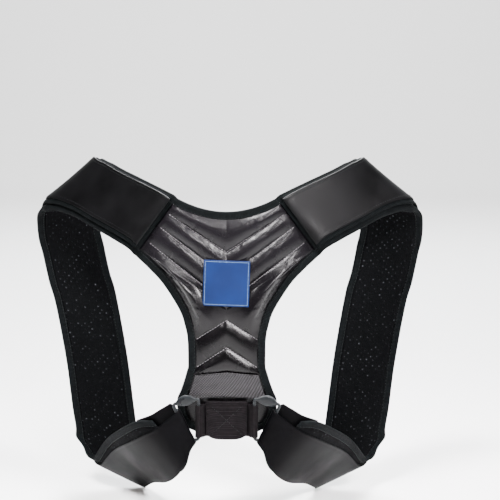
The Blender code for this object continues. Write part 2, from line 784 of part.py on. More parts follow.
def build_ring_loop(side, sign, collection):
    """Webbing that leaves the foot tab, wraps the ring's inner bar and returns."""
    bar = Vector((RING_X, ring_face()))
    wrap = RING_BAR / 2 + WEB_CLEAR + WEB_THICK / 2
    back = PANEL_WALL + WEB_SEAT + SEAM_GAP + WEB_THICK / 2
    front = back + WEB_THICK + SEAM_GAP * 2
    path = [Vector((WEB_HEM, back)), Vector((lerp(TAB_HALF, RING_X, 0.5), back))]
    for step in range(7):
        angle = math.radians(-60 + 30 * step)
        path.append(bar + Vector((math.cos(angle), math.sin(angle))) * wrap)
    path += [Vector((lerp(TAB_HALF, RING_X, 0.35), lerp(bar.y + wrap, front, 0.55))),
             Vector((TAB_HALF, front)), Vector((WEB_HEM, front))]
    count = len(path) - 1

    def place(u, v, face):
        i = round(v * count)
        before, after = path[max(i - 1, 0)], path[min(i + 1, count)]
        along = (after - before).normalized()
        push = Vector((along.y, -along.x)) * (WEB_THICK / 2 * (1 if face else -1))
        point = path[i] + push
        z = -RING_Z + (u - 0.5) * WEB_HEIGHT
        return Vector((sign * point.x, -point.y, z))

    slab("ring_loop_" + side, "webbing", 2, count, place, collection)


def build_tab(collection):
    """The stitched foot tab, with its rounded lower edge."""
    back = PANEL_WALL + WEB_SEAT + 2 * WEB_THICK + SEAM_GAP * 5
    top = -RING_Z + WEB_HEIGHT / 2 + TAB_RISE

    def place(u, v, face):
        across = 2 * u - 1
        bottom = top - TAB_HEIGHT + TAB_CURVE * across ** 4
        z = lerp(bottom, top, v)
        return Vector((across * TAB_HALF, -(back + TAB_THICK * face), z))

    slab("foot_tab", "webbing", 8, 6, place, collection)


def build():
    """Build every piece of the posture corrector."""
    clear_scene()
    collection = bpy.data.collections.new("posture_corrector")
    bpy.context.scene.collection.children.link(collection)
    build_panel(collection)
    build_bindings(collection)
    build_tab(collection)
    for side, sign in (("left", -1), ("right", 1)):
        mirror = sign > 0
        build_loop(side, mirror, collection)
        build_band(side, mirror, collection)
        build_ring(side, sign, collection)
        build_ring_loop(side, sign, collection)


build()
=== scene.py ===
"""Looks for the posture corrector: quilted panel, padded loops, webbing and rings."""
import math

import bpy
import numpy as np
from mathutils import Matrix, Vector


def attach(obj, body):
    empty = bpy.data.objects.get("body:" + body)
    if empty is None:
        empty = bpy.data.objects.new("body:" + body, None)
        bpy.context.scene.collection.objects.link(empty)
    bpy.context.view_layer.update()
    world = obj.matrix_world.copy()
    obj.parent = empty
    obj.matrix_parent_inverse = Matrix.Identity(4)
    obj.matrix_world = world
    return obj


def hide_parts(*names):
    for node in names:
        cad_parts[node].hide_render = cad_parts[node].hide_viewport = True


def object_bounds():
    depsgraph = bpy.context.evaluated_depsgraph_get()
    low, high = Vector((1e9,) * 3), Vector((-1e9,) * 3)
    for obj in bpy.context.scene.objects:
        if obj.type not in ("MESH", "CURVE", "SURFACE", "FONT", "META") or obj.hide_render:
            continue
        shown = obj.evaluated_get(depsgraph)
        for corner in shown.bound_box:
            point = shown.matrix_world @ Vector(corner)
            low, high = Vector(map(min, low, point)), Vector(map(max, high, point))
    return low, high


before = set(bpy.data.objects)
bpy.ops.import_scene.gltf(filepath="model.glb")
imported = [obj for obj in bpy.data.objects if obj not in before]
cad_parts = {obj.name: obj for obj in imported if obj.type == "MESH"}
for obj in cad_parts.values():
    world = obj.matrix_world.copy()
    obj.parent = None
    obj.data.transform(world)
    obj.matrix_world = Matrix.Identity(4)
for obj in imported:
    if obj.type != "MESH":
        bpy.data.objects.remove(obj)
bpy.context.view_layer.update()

# Sizes in metres, angles in degrees and shares, as the solids have them
WING_X, WING_Z = 0.0918, 0.0432
PANEL_UP, PANEL_DOWN, WAIST_X = 0.0890, 0.1340, 0.0390
WING_END, WING_END_TILT = 0.0727, 53.8
BACK_CURVE, NECK_LEAN = 0.0130, 0.0013
PANEL_WALL, PUFF, RIDGE = 0.0035, 0.0038, 0.0030
BINDING_WIDTH, BINDING_THICK, SEAM_GAP = 0.0085, 0.0054, 0.0003
STRAP_WIDTH, PAD_THICK = 0.0670, 0.0060
SIDE_REACH, FRONT_REACH, DROP = 0.1037, 0.1330, 0.2820
FOLD_RADIUS, FOLD_SIDE, FOLD_FRONT = 0.0070, 0.515, 0.827
FOLD_SLOPE, FOLD_TURN, FOLD_STEPS = 27.0, 125.0, 4
FOLD_DRIFT, FOLD_WIDE = 0.0074, 0.95
END_ROUND = 0.0100
BACKING_WIDTH, BACKING_THICK = 0.0590, 0.0036
COVER_WIDTH, COVER_THICK = 0.0530, 0.0018
TAPE_WIDTH, TAPE_THICK = 0.0080, 0.0012
BAND_WIDTH, BAND_THICK, BAND_OVERLAP, BAND_EASE = 0.0500, 0.0018, 0.0180, 0.45
RING_BAR, RING_BLADE, RING_SWELL, RING_X, RING_Z = 0.0032, 0.0110, 0.26, 0.0280, 0.1215
RING_BREADTH, RING_TOP, RING_FALL = 0.0258, 0.0235, 0.0062
RING_FOOT, RING_FOOT_BREADTH, RING_CORNER = 0.0190, 0.0091, 0.0032
RING_STANDOFF, TURN_SIDE, TURN_UP = 0.0042, 0.0156, 0.0047
WEB_THICK, WEB_HEIGHT, WEB_CLEAR, WEB_HEM, WEB_SEAT = 0.0014, 0.0330, 0.0006, 0.0114, 0.0006
TAB_HALF, TAB_HEIGHT, TAB_THICK, TAB_RISE, TAB_CURVE = 0.0208, 0.0400, 0.0020, 0.0040, 0.0060
KNIT_THICK, KNIT_REACH, KNIT_FOOT = 0.0010, 0.985, 0.5
LABEL_SIZE, LABEL_THICK, LABEL_Z, LABEL_TURN = 0.0460, 0.0008, 0.0180, 2.0

FOOT_ROWS = (
    # name, centre, edge_x, edge_z, puff, ridge
    ("foot",         -1.015, 0.73, -1.015, 0.0, 0.0),
    ("corner",       -0.965, 1.08, -0.965, 0.0, 0.0),
    ("side",         -0.870, 1.26, -0.870, 0.0, 0.0),
    ("flare",        -0.765, 1.29, -0.765, 0.0, 0.0),
    ("knit_foot",    -0.700, 1.20, -0.695, 0.0, 0.0),
    ("knit_middle",  -0.625, 1.11, -0.620, 0.0, 0.0),
    ("seam",         -0.545, 1.04, -0.550, 0.0, 0.0),
    ("low_puff",     -0.455, 1.02, -0.530, 1.0, 0.0),
    ("low_peak",     -0.356, 1.00, -0.505, 0.0, 0.0),
    ("mid_puff",     -0.250, 1.00, -0.400, 1.0, 0.0),
    ("high_peak",    -0.148, 1.01, -0.300, 0.0, 0.0),
    ("hollow",       -0.115, 1.06, -0.215, 0.3, 0.4),
    ("ridge_start",  -0.090, 1.21, -0.080, 0.3, 0.9),
    ("ridge_middle", -0.070, 1.62, 0.165,  0.3, 1.0),
    ("ridge_top",    -0.055, 1.98, 0.335,  0.2, 0.8),
)
WING_ROWS = (
    # name, centre, end, puff, ridge
    ("wing_corner", -0.045, 0.00, 0.1, 0.5),
    ("low_vee",     -0.020, 0.20, 0.0, 0.0),
    ("low_pad",     0.120,  0.38, 1.0, 0.0),
    ("mid_vee",     0.270,  0.55, 0.0, 0.0),
    ("mid_pad",     0.405,  0.70, 1.0, 0.0),
    ("top_vee",     0.545,  0.83, 0.0, 0.0),
    ("top_pad",     0.740,  0.93, 0.9, 0.0),
    ("neck",        1.000,  1.00, 0.0, 0.0),
)
LOOP_ROWS = (
    # name, side, front, down, across_x, across_y, across_z, wide
    ("cover_end", 0.095, 0.025, -0.026, 0.59, 0.03,  0.80,  1.03),
    ("rise",      0.470, 0.262, -0.083, 0.61, -0.03, 0.79,  1.00),
    ("shoulder",  0.705, 0.436, -0.115, 0.68, -0.03, 0.74,  1.00),
    ("crest",     0.883, 0.586, -0.120, 0.75, -0.03, 0.66,  1.00),
    ("over",      0.965, 0.759, -0.066, 0.88, 0.06,  0.47,  1.00),
    ("chest",     0.997, 0.883, 0.059,  0.99, 0.11,  0.06,  1.00),
    ("front_1",   0.962, 0.944, 0.148,  1.00, 0.07,  0.00,  1.00),
    ("front_2",   0.913, 0.974, 0.246,  1.00, 0.04,  0.00,  1.00),
    ("front_3",   0.841, 0.989, 0.355,  1.00, 0.04,  0.00,  1.00),
    ("front_4",   0.739, 0.985, 0.578,  1.00, 0.06,  -0.01, 1.00),
    ("front_5",   0.669, 0.947, 0.780,  0.99, 0.08,  -0.09, 1.00),
    ("front_6",   0.620, 0.915, 0.890,  0.95, 0.05,  -0.29, 0.96),
)
UNDER_ROWS = (
    # name, towards, back, lift, across_x, across_y, across_z, wide
    ("under_1", 0.19, 0.320, 0.270, 0.79, -0.06, -0.61, 0.97),
    ("under_2", 0.40, 0.620, 0.465, 0.72, -0.10, -0.69, 0.98),
    ("under_3", 0.59, 0.840, 0.640, 0.65, -0.09, -0.75, 0.90),
    ("pad_end", 0.74, 0.950, 0.770, 0.57, -0.05, -0.82, 0.78),
    ("bar",     0.88, 0.985, 0.900, 0.48, -0.02, -0.88, 0.64),
)
RING_ACROSS = (0.43, 0.00, -0.90)
RING_GATHER = 0.58
BAND_EDGE_FOLD, BAND_EDGE_RING, BAND_CLEAR = -0.70, -0.42, 0.0020

# The scene's own. Shares are of half the strap's width where nothing else is said.
RIDGE_GAIN = 2.6                        # the panel's ridges against the solid's
FOLD_SMOOTH, FOLD_NEAR = 0.0045, 5.0    # rounding of the loop's turn, and its reach in stations
TUCK = 0.0016                           # panel and pads reach this far under a bound edge
COVER_SHIFT, COVER_HEM = 0.09, 0.0032
FAR_LIFT, FAR_EASE = 0.50, 0.4          # the band's hidden layer, raised
BAND_FOOT_FOLD, BAND_FOOT_RING, BAND_FOOT_RUN = 0.90, 1.43, 0.85
FOLD_DRAW, FOLD_DRAW_REACH, BAND_DRAW = 0.20, 1.4, 0.45
SIM_SCALE, SIM_FRAMES, SIM_SKIP = 10.0, 20, 2
QUILT_PRESSURE, QUILT_GROWTH, QUILT_CAP = 3.0, 0.002, 0.0005
PANEL_COLUMNS, PANEL_LINES = 150, 300
SEWN_REACH, HELD_LINES = 0.07, 4        # what the cloth simulation holds in place
BINDING_SEAM = 0.22

# Stitches: pitch, length and radius of the thread
PANEL_STITCH = 0.0031, 0.0021, 0.00034
KNIT_STITCH = 0.0030, 0.0022, 0.00030
LABEL_STITCH = 0.0013, 0.0012, 0.00035
EDGE_STITCH = 0.0034, 0.0024, 0.00028
COVER_STITCH = 0.0034, 0.0024, 0.00026
TAB_STITCH = 0.0026, 0.0021, 0.00034

SIDES = ("left", False), ("right", True)

# Camera: focal length, image side and the origin's place in the image, in pixels
FOCAL, IMAGE, ORIGIN = 1500.0, 500, (226.5, 300)


# Shared geometry

def lerp(a, b, t):
    return a + (b - a) * t


def spline(points, t):
    last = len(points) - 1
    i = min(int(t), last - 1)
    f = t - i
    b, c = points[i], points[i + 1]
    a = points[i - 1] if i > 0 else b * 2 - c
    d = points[i + 2] if i + 2 <= last else c * 2 - b
    return b + ((c - a) + ((a * 2 - b * 5 + c * 4 - d)
                + (b * 3 - c * 3 + d - a) * f) * f) * (f / 2)


def smooth(t):
    t = np.clip(t, 0.0, 1.0)
    return t * t * (3 - 2 * t)


def noise(x, y, seed):
    """Smooth noise from -1 to 1 over two arrays, the same on every run."""
    xi, yi = np.floor(x), np.floor(y)
    fx, fy = smooth(x - xi), smooth(y - yi)

    def corner(a, b):
        h = np.sin(a * 127.1 + b * 311.7 + seed * 74.7) * 43758.5453
        return 2 * (h - np.floor(h)) - 1

    low = lerp(corner(xi, yi), corner(xi + 1, yi), fx)
    high = lerp(corner(xi, yi + 1), corner(xi + 1, yi + 1), fx)
    return lerp(low, high, fy)


def run_length(points):
    """Distance along a line of points, 0 at its first."""
    return np.concatenate([[0.0], np.cumsum(np.linalg.norm(np.diff(points, axis=0), axis=1))])


def outward(count):
    """The direction away from the wearer, once a point."""
    return np.tile([0.0, -1.0, 0.0], (count, 1))


def flipped(mirror):
    return np.array([-1.0 if mirror else 1.0, 1.0, 1.0])


def panel_height(share):
    return share * (PANEL_UP if share > 0 else PANEL_DOWN)


def wing_end(share):
    tilt = math.radians(WING_END_TILT)
    return Vector((WING_X, WING_Z)) + Vector((-math.cos(tilt), math.sin(tilt))) * (WING_END * share)


def wing_inner(share):
    inset = (BINDING_WIDTH + SEAM_GAP) / WING_END
    return wing_end(lerp(inset, 1 - inset, share))


ROW_NAMES, ROWS = [], []
for name, centre, edge_x, edge_z, puff, ridge in FOOT_ROWS:
    ROW_NAMES.append(name)
    ROWS.append((panel_height(centre), edge_x * WAIST_X, panel_height(edge_z), puff, ridge))
for name, centre, end, puff, ridge in WING_ROWS:
    ROW_NAMES.append(name)
    edge = wing_inner(end)
    ROWS.append((panel_height(centre), edge.x, edge.y, puff, ridge))
ROW_CENTRES = [Vector((0.0, row[0])) for row in ROWS]
ROW_EDGES = [Vector((row[1], row[2])) for row in ROWS]
CORNER_ROW = ROW_NAMES.index("wing_corner")
NECK_ROW = len(ROWS) - 1
TOP_VEE = ROW_NAMES.index("top_vee")
ARMHOLE = ROW_EDGES[:CORNER_ROW] + [Vector((WING_X, WING_Z))]


def bend(x, z):
    return BACK_CURVE * (x / WING_X) ** 2 + NECK_LEAN * np.maximum(z / PANEL_UP, 0.0)


def neck_edge(u):
    middle, end = Vector((0.0, PANEL_UP)), wing_end(1.0)
    point = lerp(middle, end, u)
    point.y -= (end.y - middle.y) * u * (1 - u)
    return point


def neck_inward(u):
    end = (wing_end(0.0) - wing_end(1.0)).normalized()
    return lerp(Vector((0.0, -1.0)), end, u).normalized()


def inset_edge(row):
    if row >= CORNER_ROW:
        return spline(ROW_EDGES[CORNER_ROW:], row - CORNER_ROW)
    end = (wing_end(1.0) - wing_end(0.0)).normalized()
    ahead = spline(ARMHOLE, min(row + 0.1, CORNER_ROW))
    behind = spline(ARMHOLE, max(row - 0.1, 0.0))
    along = (ahead - behind).normalized()
    inward = Vector((-along.y, along.x))
    inward = lerp(inward, end, max(row - CORNER_ROW + 1, 0.0)).normalized()
    return spline(ARMHOLE, row) + inward * (BINDING_WIDTH + SEAM_GAP)


def to_world(point, offset):
    return Vector((point.x, float(bend(point.x, point.y)) - offset, point.y))


def ring_face():
    return PANEL_WALL + PUFF + RING_STANDOFF


def ring_turn():
    outer = RING_X + TURN_SIDE
    return Vector((-outer, -ring_face() - RING_BAR / 2, -RING_Z + TURN_UP))


def loop_stations():
    corner, top = wing_end(0.0), wing_end(1.0)
    low = to_world(Vector((-corner.x, corner.y)), PANEL_WALL / 2)
    high = to_world(Vector((-top.x, top.y)), PANEL_WALL / 2)
    start = (low + high) / 2
    names, middles = ["wing"], [start]
    acrosses, widths = [(high - low).normalized()], [(high - low).length]
    for name, side, front, down, ax, ay, az, wide in LOOP_ROWS:
        names.append(name)
        middles.append(start + Vector((-side * SIDE_REACH, front * FRONT_REACH, -down * DROP)))
        acrosses.append(Vector((ax, ay, az)).normalized())
        widths.append(wide * STRAP_WIDTH)
    slope = math.radians(FOLD_SLOPE)
    fold = Vector((math.cos(slope), 0.0, -math.sin(slope)))
    inward = Vector((math.sin(slope), 0.0, math.cos(slope)))
    axis = start + Vector((-FOLD_SIDE * SIDE_REACH, FOLD_FRONT * FRONT_REACH, -DROP))
    axis += inward * FOLD_RADIUS
    for step in range(FOLD_STEPS + 1):
        turn = math.radians(FOLD_TURN) * step / FOLD_STEPS
        names.append("fold_%d" % step)
        middles.append(axis + Vector((0.0, math.cos(turn), 0.0)) * FOLD_RADIUS
                       - inward * math.sin(turn) * FOLD_RADIUS
                       + fold * FOLD_DRIFT * (2 * turn / math.pi - 1))
        acrosses.append(fold.copy())
        widths.append(FOLD_WIDE * STRAP_WIDTH)
    leave, arrive = middles[-1].copy(), ring_turn()
    for name, towards, back, lift, ax, ay, az, wide in UNDER_ROWS:
        names.append(name)
        middles.append(Vector((lerp(leave.x, arrive.x, towards), lerp(leave.y, arrive.y, back),
                               lerp(leave.z, arrive.z, lift))))
        acrosses.append(Vector((ax, ay, az)).normalized())
        widths.append(wide * STRAP_WIDTH)
    names.append("ring")
    middles.append(arrive)
    acrosses.append(Vector(RING_ACROSS).normalized())
    widths.append(RING_GATHER * STRAP_WIDTH)
    return names, middles, acrosses, widths


NAMES, MIDDLES, ACROSSES, WIDTHS = loop_stations()
LAST = len(NAMES) - 1
WIDTH_POINTS = [Vector((width, 0.0)) for width in WIDTHS]


def station(name):
    return float(NAMES.index(name))


def loop_frame(s):
    s = min(max(s, 0.0), LAST)
    step = 0.02
    middle = spline(MIDDLES, s)
    along = spline(MIDDLES, min(s + step, LAST)) - spline(MIDDLES, max(s - step, 0.0))
    along.normalize()
    across = spline(ACROSSES, s).normalized()
    square = across.cross(along)
    half = spline(WIDTH_POINTS, s).x / 2 / max(square.length, 0.5)
    if s < 1.0:
        half = lerp(WIDTHS[0] / 2, half, s)
    return middle, across * half, square.normalized()


def smoothed_loop():
    """Frames all along the loop, with the turn at the fold rounded a little more."""
    trial = np.linspace(0, LAST, 1500)
    found = [loop_frame(s) for s in trial]
    middle, half, out = (np.array([f[i] for f in found]) for i in range(3))
    runs = run_length(middle)
    even = np.linspace(0, runs[-1], 1500)
    places = np.interp(even, runs, trial)
    table = np.concatenate([middle, half, out], axis=1)
    table = np.stack([np.interp(places, trial, column) for column in table.T], axis=1)
    pitch = even[1]
    reach = int(3 * FOLD_SMOOTH / pitch)
    weight = np.exp(-0.5 * (np.arange(-reach, reach + 1) * pitch / FOLD_SMOOTH) ** 2)
    weight /= weight.sum()
    padded = np.pad(table, ((reach, reach), (0, 0)), mode="edge")
    soft = np.stack([np.convolve(column, weight, "valid") for column in padded.T], axis=1)
    turn = station("fold_%d" % (FOLD_STEPS // 2))
    near = np.exp(-((places - turn) / FOLD_NEAR) ** 4)[:, None]
    return places, table + (soft - table) * near


LOOP_PLACES, LOOP_TABLE = smoothed_loop()


def frames(places):
    """Middles, half-width vectors and outer directions at the places, as arrays."""
    found = np.stack([np.interp(places, LOOP_PLACES, c) for c in LOOP_TABLE.T], axis=1)
    out = found[:, 6:] / np.linalg.norm(found[:, 6:], axis=1)[:, None]
    return found[:, :3], found[:, 3:6], out


def spread(first, last, pitch):
    """Places from first to last, about pitch metres apart."""
    trial = np.linspace(first, last, 900)
    points = frames(trial)[0]
    runs = run_length(points)
    count = max(int(runs[-1] / pitch), 2)
    return np.interp(np.linspace(0, runs[-1], count + 1), runs, trial)


def end_round(s):
    first = station("under_3") - 0.3
    share = np.maximum(s - first, 0.0) / (station("pad_end") - first)
    return 2 * END_ROUND / STRAP_WIDTH * share ** 2


def fold_draw(s):
    """Share that the lower edge is drawn in by at the fold."""
    turn = station("fold_%d" % (FOLD_STEPS // 2))
    return FOLD_DRAW * np.exp(-((s - turn) / FOLD_DRAW_REACH) ** 2)


# Meshes

def declare(piece, node=None):
    """Hangs a piece on the root body that it rides on, and hides the solid node that it stands for.
    """
    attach(piece, "root")
    if node:
        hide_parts(node)


def make_mesh(name, points, faces, uvs, finish):
    """A mesh object from arrays, its faces turned outwards."""
    mesh = bpy.data.meshes.new(name)
    tri = np.concatenate([faces[:, [0, 1, 2]], faces[:, [0, 2, 3]]])
    a, b, c = points[tri[:, 0]], points[tri[:, 1]], points[tri[:, 2]]
    if np.einsum("ij,ij->", a, np.cross(b, c)) < 0:
        faces, uvs = faces[:, ::-1], uvs[:, ::-1]
    mesh.from_pydata(points.tolist(), [], faces.tolist())
    layer = mesh.uv_layers.new(name="metres")
    layer.data.foreach_set("uv", np.ascontiguousarray(uvs, dtype=np.float32).ravel())
    mesh.materials.append(finish)
    mesh.shade_smooth()
    mesh.update()
    obj = bpy.data.objects.new(name, mesh)
    bpy.context.scene.collection.objects.link(obj)
    return obj


def closed_sheet(name, outer, inner, finish):
    """A closed body between two grids of points (rows, columns, 3) with a shared rim."""
    rows, columns = outer.shape[:2]
    step_u = np.linalg.norm(np.diff(outer, axis=1), axis=2).mean(0)
    step_v = np.linalg.norm(np.diff(outer, axis=0), axis=2).mean(1)
    across = np.concatenate([[0.0], np.cumsum(step_u)])
    along = np.concatenate([[0.0], np.cumsum(step_v)])
    across -= across[-1] / 2
    size = rows * columns
    points = np.concatenate([outer.reshape(-1, 3), inner.reshape(-1, 3)])
    index = np.arange(size).reshape(rows, columns)
    uv = np.stack(np.meshgrid(across, along), axis=-1)

    def quads(grid, flip):
        f = np.stack([grid[:-1, :-1], grid[:-1, 1:], grid[1:, 1:], grid[1:, :-1]], -1)
        return f[..., ::-1].reshape(-1, 4) if flip else f.reshape(-1, 4)

    t = np.stack([uv[:-1, :-1], uv[:-1, 1:], uv[1:, 1:], uv[1:, :-1]], -2).reshape(-1, 4, 2)
    faces = [quads(index, False), quads(index + size, True)]
    uvs = [t, t[:, ::-1]]
    for line, where in ((index[0], uv[0]), (index[-1][::-1], uv[-1][::-1]),
                        (index[:, 0][::-1], uv[:, 0][::-1]), (index[:, -1], uv[:, -1])):
        faces.append(np.stack([line[1:], line[:-1], line[:-1] + size, line[1:] + size], -1))
        uvs.append(np.stack([where[1:], where[:-1], where[:-1], where[1:]], 1))
    return make_mesh(name, points, np.concatenate(faces), np.concatenate(uvs), finish)


def settled(grid, pinned, pressure, growth, cap):
    """A grid of points after a cloth simulation, with the pinned points held in place."""
    whole = grid
    grid, pinned = grid[::SIM_SKIP, ::SIM_SKIP], pinned[::SIM_SKIP, ::SIM_SKIP]
    rows, columns = grid.shape[:2]
    index = np.arange(rows * columns).reshape(rows, columns)
    faces = np.stack([index[:-1, :-1], index[:-1, 1:], index[1:, 1:], index[1:, :-1]], -1)
    flat = grid.reshape(-1, 3) * SIM_SCALE
    mesh = bpy.data.meshes.new("cloth")
    mesh.from_pydata(flat.tolist(), [], faces.reshape(-1, 4).tolist())
    obj = bpy.data.objects.new("cloth", mesh)
    bpy.context.scene.collection.objects.link(obj)
    group = obj.vertex_groups.new(name="pinned")
    group.add([int(i) for i in index[pinned]], 1.0, "ADD")
    cloth = obj.modifiers.new("cloth", "CLOTH")
    settings = cloth.settings
    settings.quality = 6
    settings.mass = 0.25
    settings.tension_stiffness = settings.compression_stiffness = 18
    settings.shear_stiffness = 6
    settings.bending_stiffness = 2.0
    settings.vertex_group_mass = "pinned"
    settings.use_pressure = True
    settings.uniform_pressure_force = pressure
    settings.shrink_min = -growth
    settings.effector_weights.gravity = 0
    cloth.point_cache.frame_start = 1
    cloth.point_cache.frame_end = SIM_FRAMES
    scene = bpy.context.scene
    for frame_number in range(1, SIM_FRAMES + 1):
        scene.frame_set(frame_number)
    body = obj.evaluated_get(bpy.context.evaluated_depsgraph_get()).to_mesh()
    moved = np.empty(rows * columns * 3)
    body.vertices.foreach_get("co", moved)
    scene.frame_set(1)
    bpy.data.objects.remove(obj)
    move = (moved.reshape(-1, 3) - flat) / SIM_SCALE
    size = np.linalg.norm(move, axis=1)[:, None]
    move *= cap * np.tanh(size / cap) / np.maximum(size, 1e-9)
    move = move.reshape(rows, columns, 3)
    places = [np.arange(n) * SIM_SKIP for n in (rows, columns)]
    fine = [np.arange(n) for n in whole.shape[:2]]
    move = np.stack([[np.interp(fine[1], places[1], line) for line in move[..., i]]
                     for i in range(3)], -1)
    move = np.stack([[np.interp(fine[0], places[0], move[:, j, i]) for j in fine[1]]
                     for i in range(3)], -1).transpose(1, 0, 2)
    return whole + move


def rim(u, width, edge):
    """Share of full thickness at u: 1 in the middle, rounded down to 0 at both edges."""
    near = np.minimum(u, 1 - u) * width
    return np.sqrt(np.clip(1 - (1 - np.clip(near / edge, 0, 1)) ** 2, 0, 1))


def across_steps(count, power=1.6):
    """Shares from 0 to 1, closer towards both edges."""
    t = np.linspace(-1, 1, count + 1)
    return (1 + np.sign(t) * (1 - (1 - np.abs(t)) ** power)) / 2


def fine_ends(places):
    """The places with a few more close to both ends, where the thickness rounds off."""
    places = np.array(places)
    shares = np.array([0.04, 0.12, 0.25, 0.4])
    first = places[0] + shares * (places[1] - places[0])
    last = places[-1] - shares[::-1] * (places[-1] - places[-2])
    return np.concatenate([places[:1], first, places[1:-1], last, places[-1:]])


def loop_piece(name, finish, mirror, places, columns, edges, low, high, edge, detail=None,
               inner_detail=None):
    """A closed strip along a loop between two offsets, with rounded edges."""
    places = fine_ends(places)
    middle, half, out = frames(places)
    u = across_steps(columns)
    ends = np.array([edges(s) for s in places])
    w = ends[:, :1] + (ends[:, 1:] - ends[:, :1]) * u
    width = np.linalg.norm(half, axis=1) * (ends[:, 1] - ends[:, 0])
    along = run_length(middle)
    round_off = rim(u[None, :], width[:, None], edge)
    length = along[-1]
    near = np.clip(np.minimum(along, length - along) / edge, 0, 1)
    round_off = np.minimum(round_off, np.sqrt(1 - (1 - near) ** 2)[:, None])
    mean, reach = (low + high) / 2, (high - low) / 2
    top, bottom = mean + reach * round_off, mean - reach * round_off
    x = (u[None, :] - 0.5) * width[:, None]
    y = along[:, None] + 0 * x
    if detail:
        top = top + detail(x, y) * round_off
    if inner_detail:
        bottom = bottom - inner_detail(x, y) * round_off

    def place(n):
        grid = middle[:, None] + half[:, None] * w[..., None] + out[:, None] * n[..., None]
        if mirror:
            grid[..., 0] *= -1
        return grid

    return closed_sheet(name, place(top), place(bottom), finish)


def stitches(name, runs, finish, pitch, length, radius):
    """Short raised threads along lines; each run is (points, outer directions)."""
    sides, stacks = 6, 4
    all_points, all_faces = [], []
    base = 0
    for line, normals in runs:
        line, normals = np.array(line), np.array(normals)
        at = run_length(line)
        for middle in np.arange(pitch / 2, at[-1], pitch):
            where = [np.interp(middle + d, at, line[:, i]) for d in (-1e-4, 0, 1e-4)
                     for i in range(3)]
            p = np.array(where[3:6])
            t = np.array(where[6:9]) - np.array(where[0:3])
            t /= np.linalg.norm(t)
            n = np.array([np.interp(middle, at, normals[:, i]) for i in range(3)])
            n -= t * (n @ t)
            n /= np.linalg.norm(n)
            b = np.cross(t, n)
            for j in range(stacks + 1):
                a = math.pi * j / stacks
                r = max(math.sin(a), 0.12) * radius
                centre = p - t * math.cos(a) * length / 2 - n * radius * 0.5 * (1 - math.sin(a))
                for k in range(sides):
                    c = 2 * math.pi * k / sides
                    all_points.append(centre + (n * math.cos(c) * 0.8 + b * math.sin(c)) * r)
            for j in range(stacks):
                for k in range(sides):
                    m = (k + 1) % sides
                    all_faces.append((base + j * sides + k, base + j * sides + m,
                                      base + (j + 1) * sides + m, base + (j + 1) * sides + k))
            base += (stacks + 1) * sides
    faces = np.array(all_faces)
    return make_mesh(name, np.array(all_points), faces, np.zeros((len(faces), 4, 2)), finish)


# Materials

class Nodes:
    """A Principled material and short ways to add nodes to it."""

    def __init__(self, name, rough, colour, specular, coat=0.0, coat_rough=0.3):
        self.material = bpy.data.materials.new(name)
        self.material.use_nodes = True
        self.tree = self.material.node_tree
        self.shader = self.tree.nodes["Principled BSDF"]
        s = self.shader.inputs
        s["Base Color"].default_value = (*colour, 1)
        s["Roughness"].default_value = rough
        s["Specular IOR Level"].default_value = specular
        s["Coat Weight"].default_value = coat
        s["Coat Roughness"].default_value = coat_rough
        self.uv = self.add("ShaderNodeUVMap", uv_map="metres").outputs[0]
        self.place = self.add("ShaderNodeTexCoord").outputs["Object"]

    def add(self, kind, **values):
        node = self.tree.nodes.new(kind)
        for key, value in values.items():
            setattr(node, key, value)
        return node

    def link(self, source, socket):
        self.tree.links.new(source, socket)

    def mapped(self, source, scale, turn=0.0):
        node = self.add("ShaderNodeMapping")
        node.inputs["Scale"].default_value = scale
        node.inputs["Rotation"].default_value = (0, 0, turn)
        self.link(source, node.inputs[0])
        return node.outputs[0]

    def noise(self, source, scale, detail=3.0, rough=0.5, warp=0.0):
        node = self.add("ShaderNodeTexNoise")
        node.inputs["Scale"].default_value = scale
        node.inputs["Detail"].default_value = detail
        node.inputs["Roughness"].default_value = rough
        node.inputs["Distortion"].default_value = warp
        self.link(source, node.inputs["Vector"])
        return node.outputs[0]

    def wave(self, source, scale, direction="X", warp=0.0):
        node = self.add("ShaderNodeTexWave", bands_direction=direction)
        node.inputs["Scale"].default_value = scale
        node.inputs["Distortion"].default_value = warp
        node.inputs["Detail Scale"].default_value = 2.0
        self.link(source, node.inputs["Vector"])
        return node.outputs["Fac"]

    def cells(self, source, scale, feature="F1", randomness=1.0):
        node = self.add("ShaderNodeTexVoronoi", feature=feature)
        node.inputs["Scale"].default_value = scale
        node.inputs["Randomness"].default_value = randomness
        self.link(source, node.inputs["Vector"])
        return node.outputs["Distance"]

    def maths(self, kind, a, b=0.0, clamp=False):
        node = self.add("ShaderNodeMath", operation=kind, use_clamp=clamp)
        for socket, value in zip(node.inputs, (a, b)):
            if isinstance(value, (int, float)):
                socket.default_value = value
            else:
                self.link(value, socket)
        return node.outputs[0]

    def span(self, value, low, high, to_low=0.0, to_high=1.0):
        node = self.add("ShaderNodeMapRange")
        self.link(value, node.inputs[0])
        for i, number in enumerate((low, high, to_low, to_high)):
            node.inputs[i + 1].default_value = number
        return node.outputs[0]

    def blend(self, share, a, b):
        node = self.add("ShaderNodeMix", data_type="RGBA")
        self.link(share, node.inputs["Factor"])
        for socket, value in ((node.inputs[6], a), (node.inputs[7], b)):
            if isinstance(value, tuple):
                socket.default_value = (*value, 1)
            else:
                self.link(value, socket)
        return node.outputs[2]

    def colour(self, value):
        self.link(value, self.shader.inputs["Base Color"])

    def rough(self, value):
        self.link(value, self.shader.inputs["Roughness"])

    def bump(self, *layers):
        """Bump layers, each (height, strength, distance)."""
        last = None
        for height, strength, distance in layers:
            node = self.add("ShaderNodeBump")
            node.inputs["Strength"].default_value = strength
            node.inputs["Distance"].default_value = distance
            self.link(height, node.inputs["Height"])
            if last:
                self.link(last, node.inputs["Normal"])
            last = node.outputs[0]
        self.link(last, self.shader.inputs["Normal"])


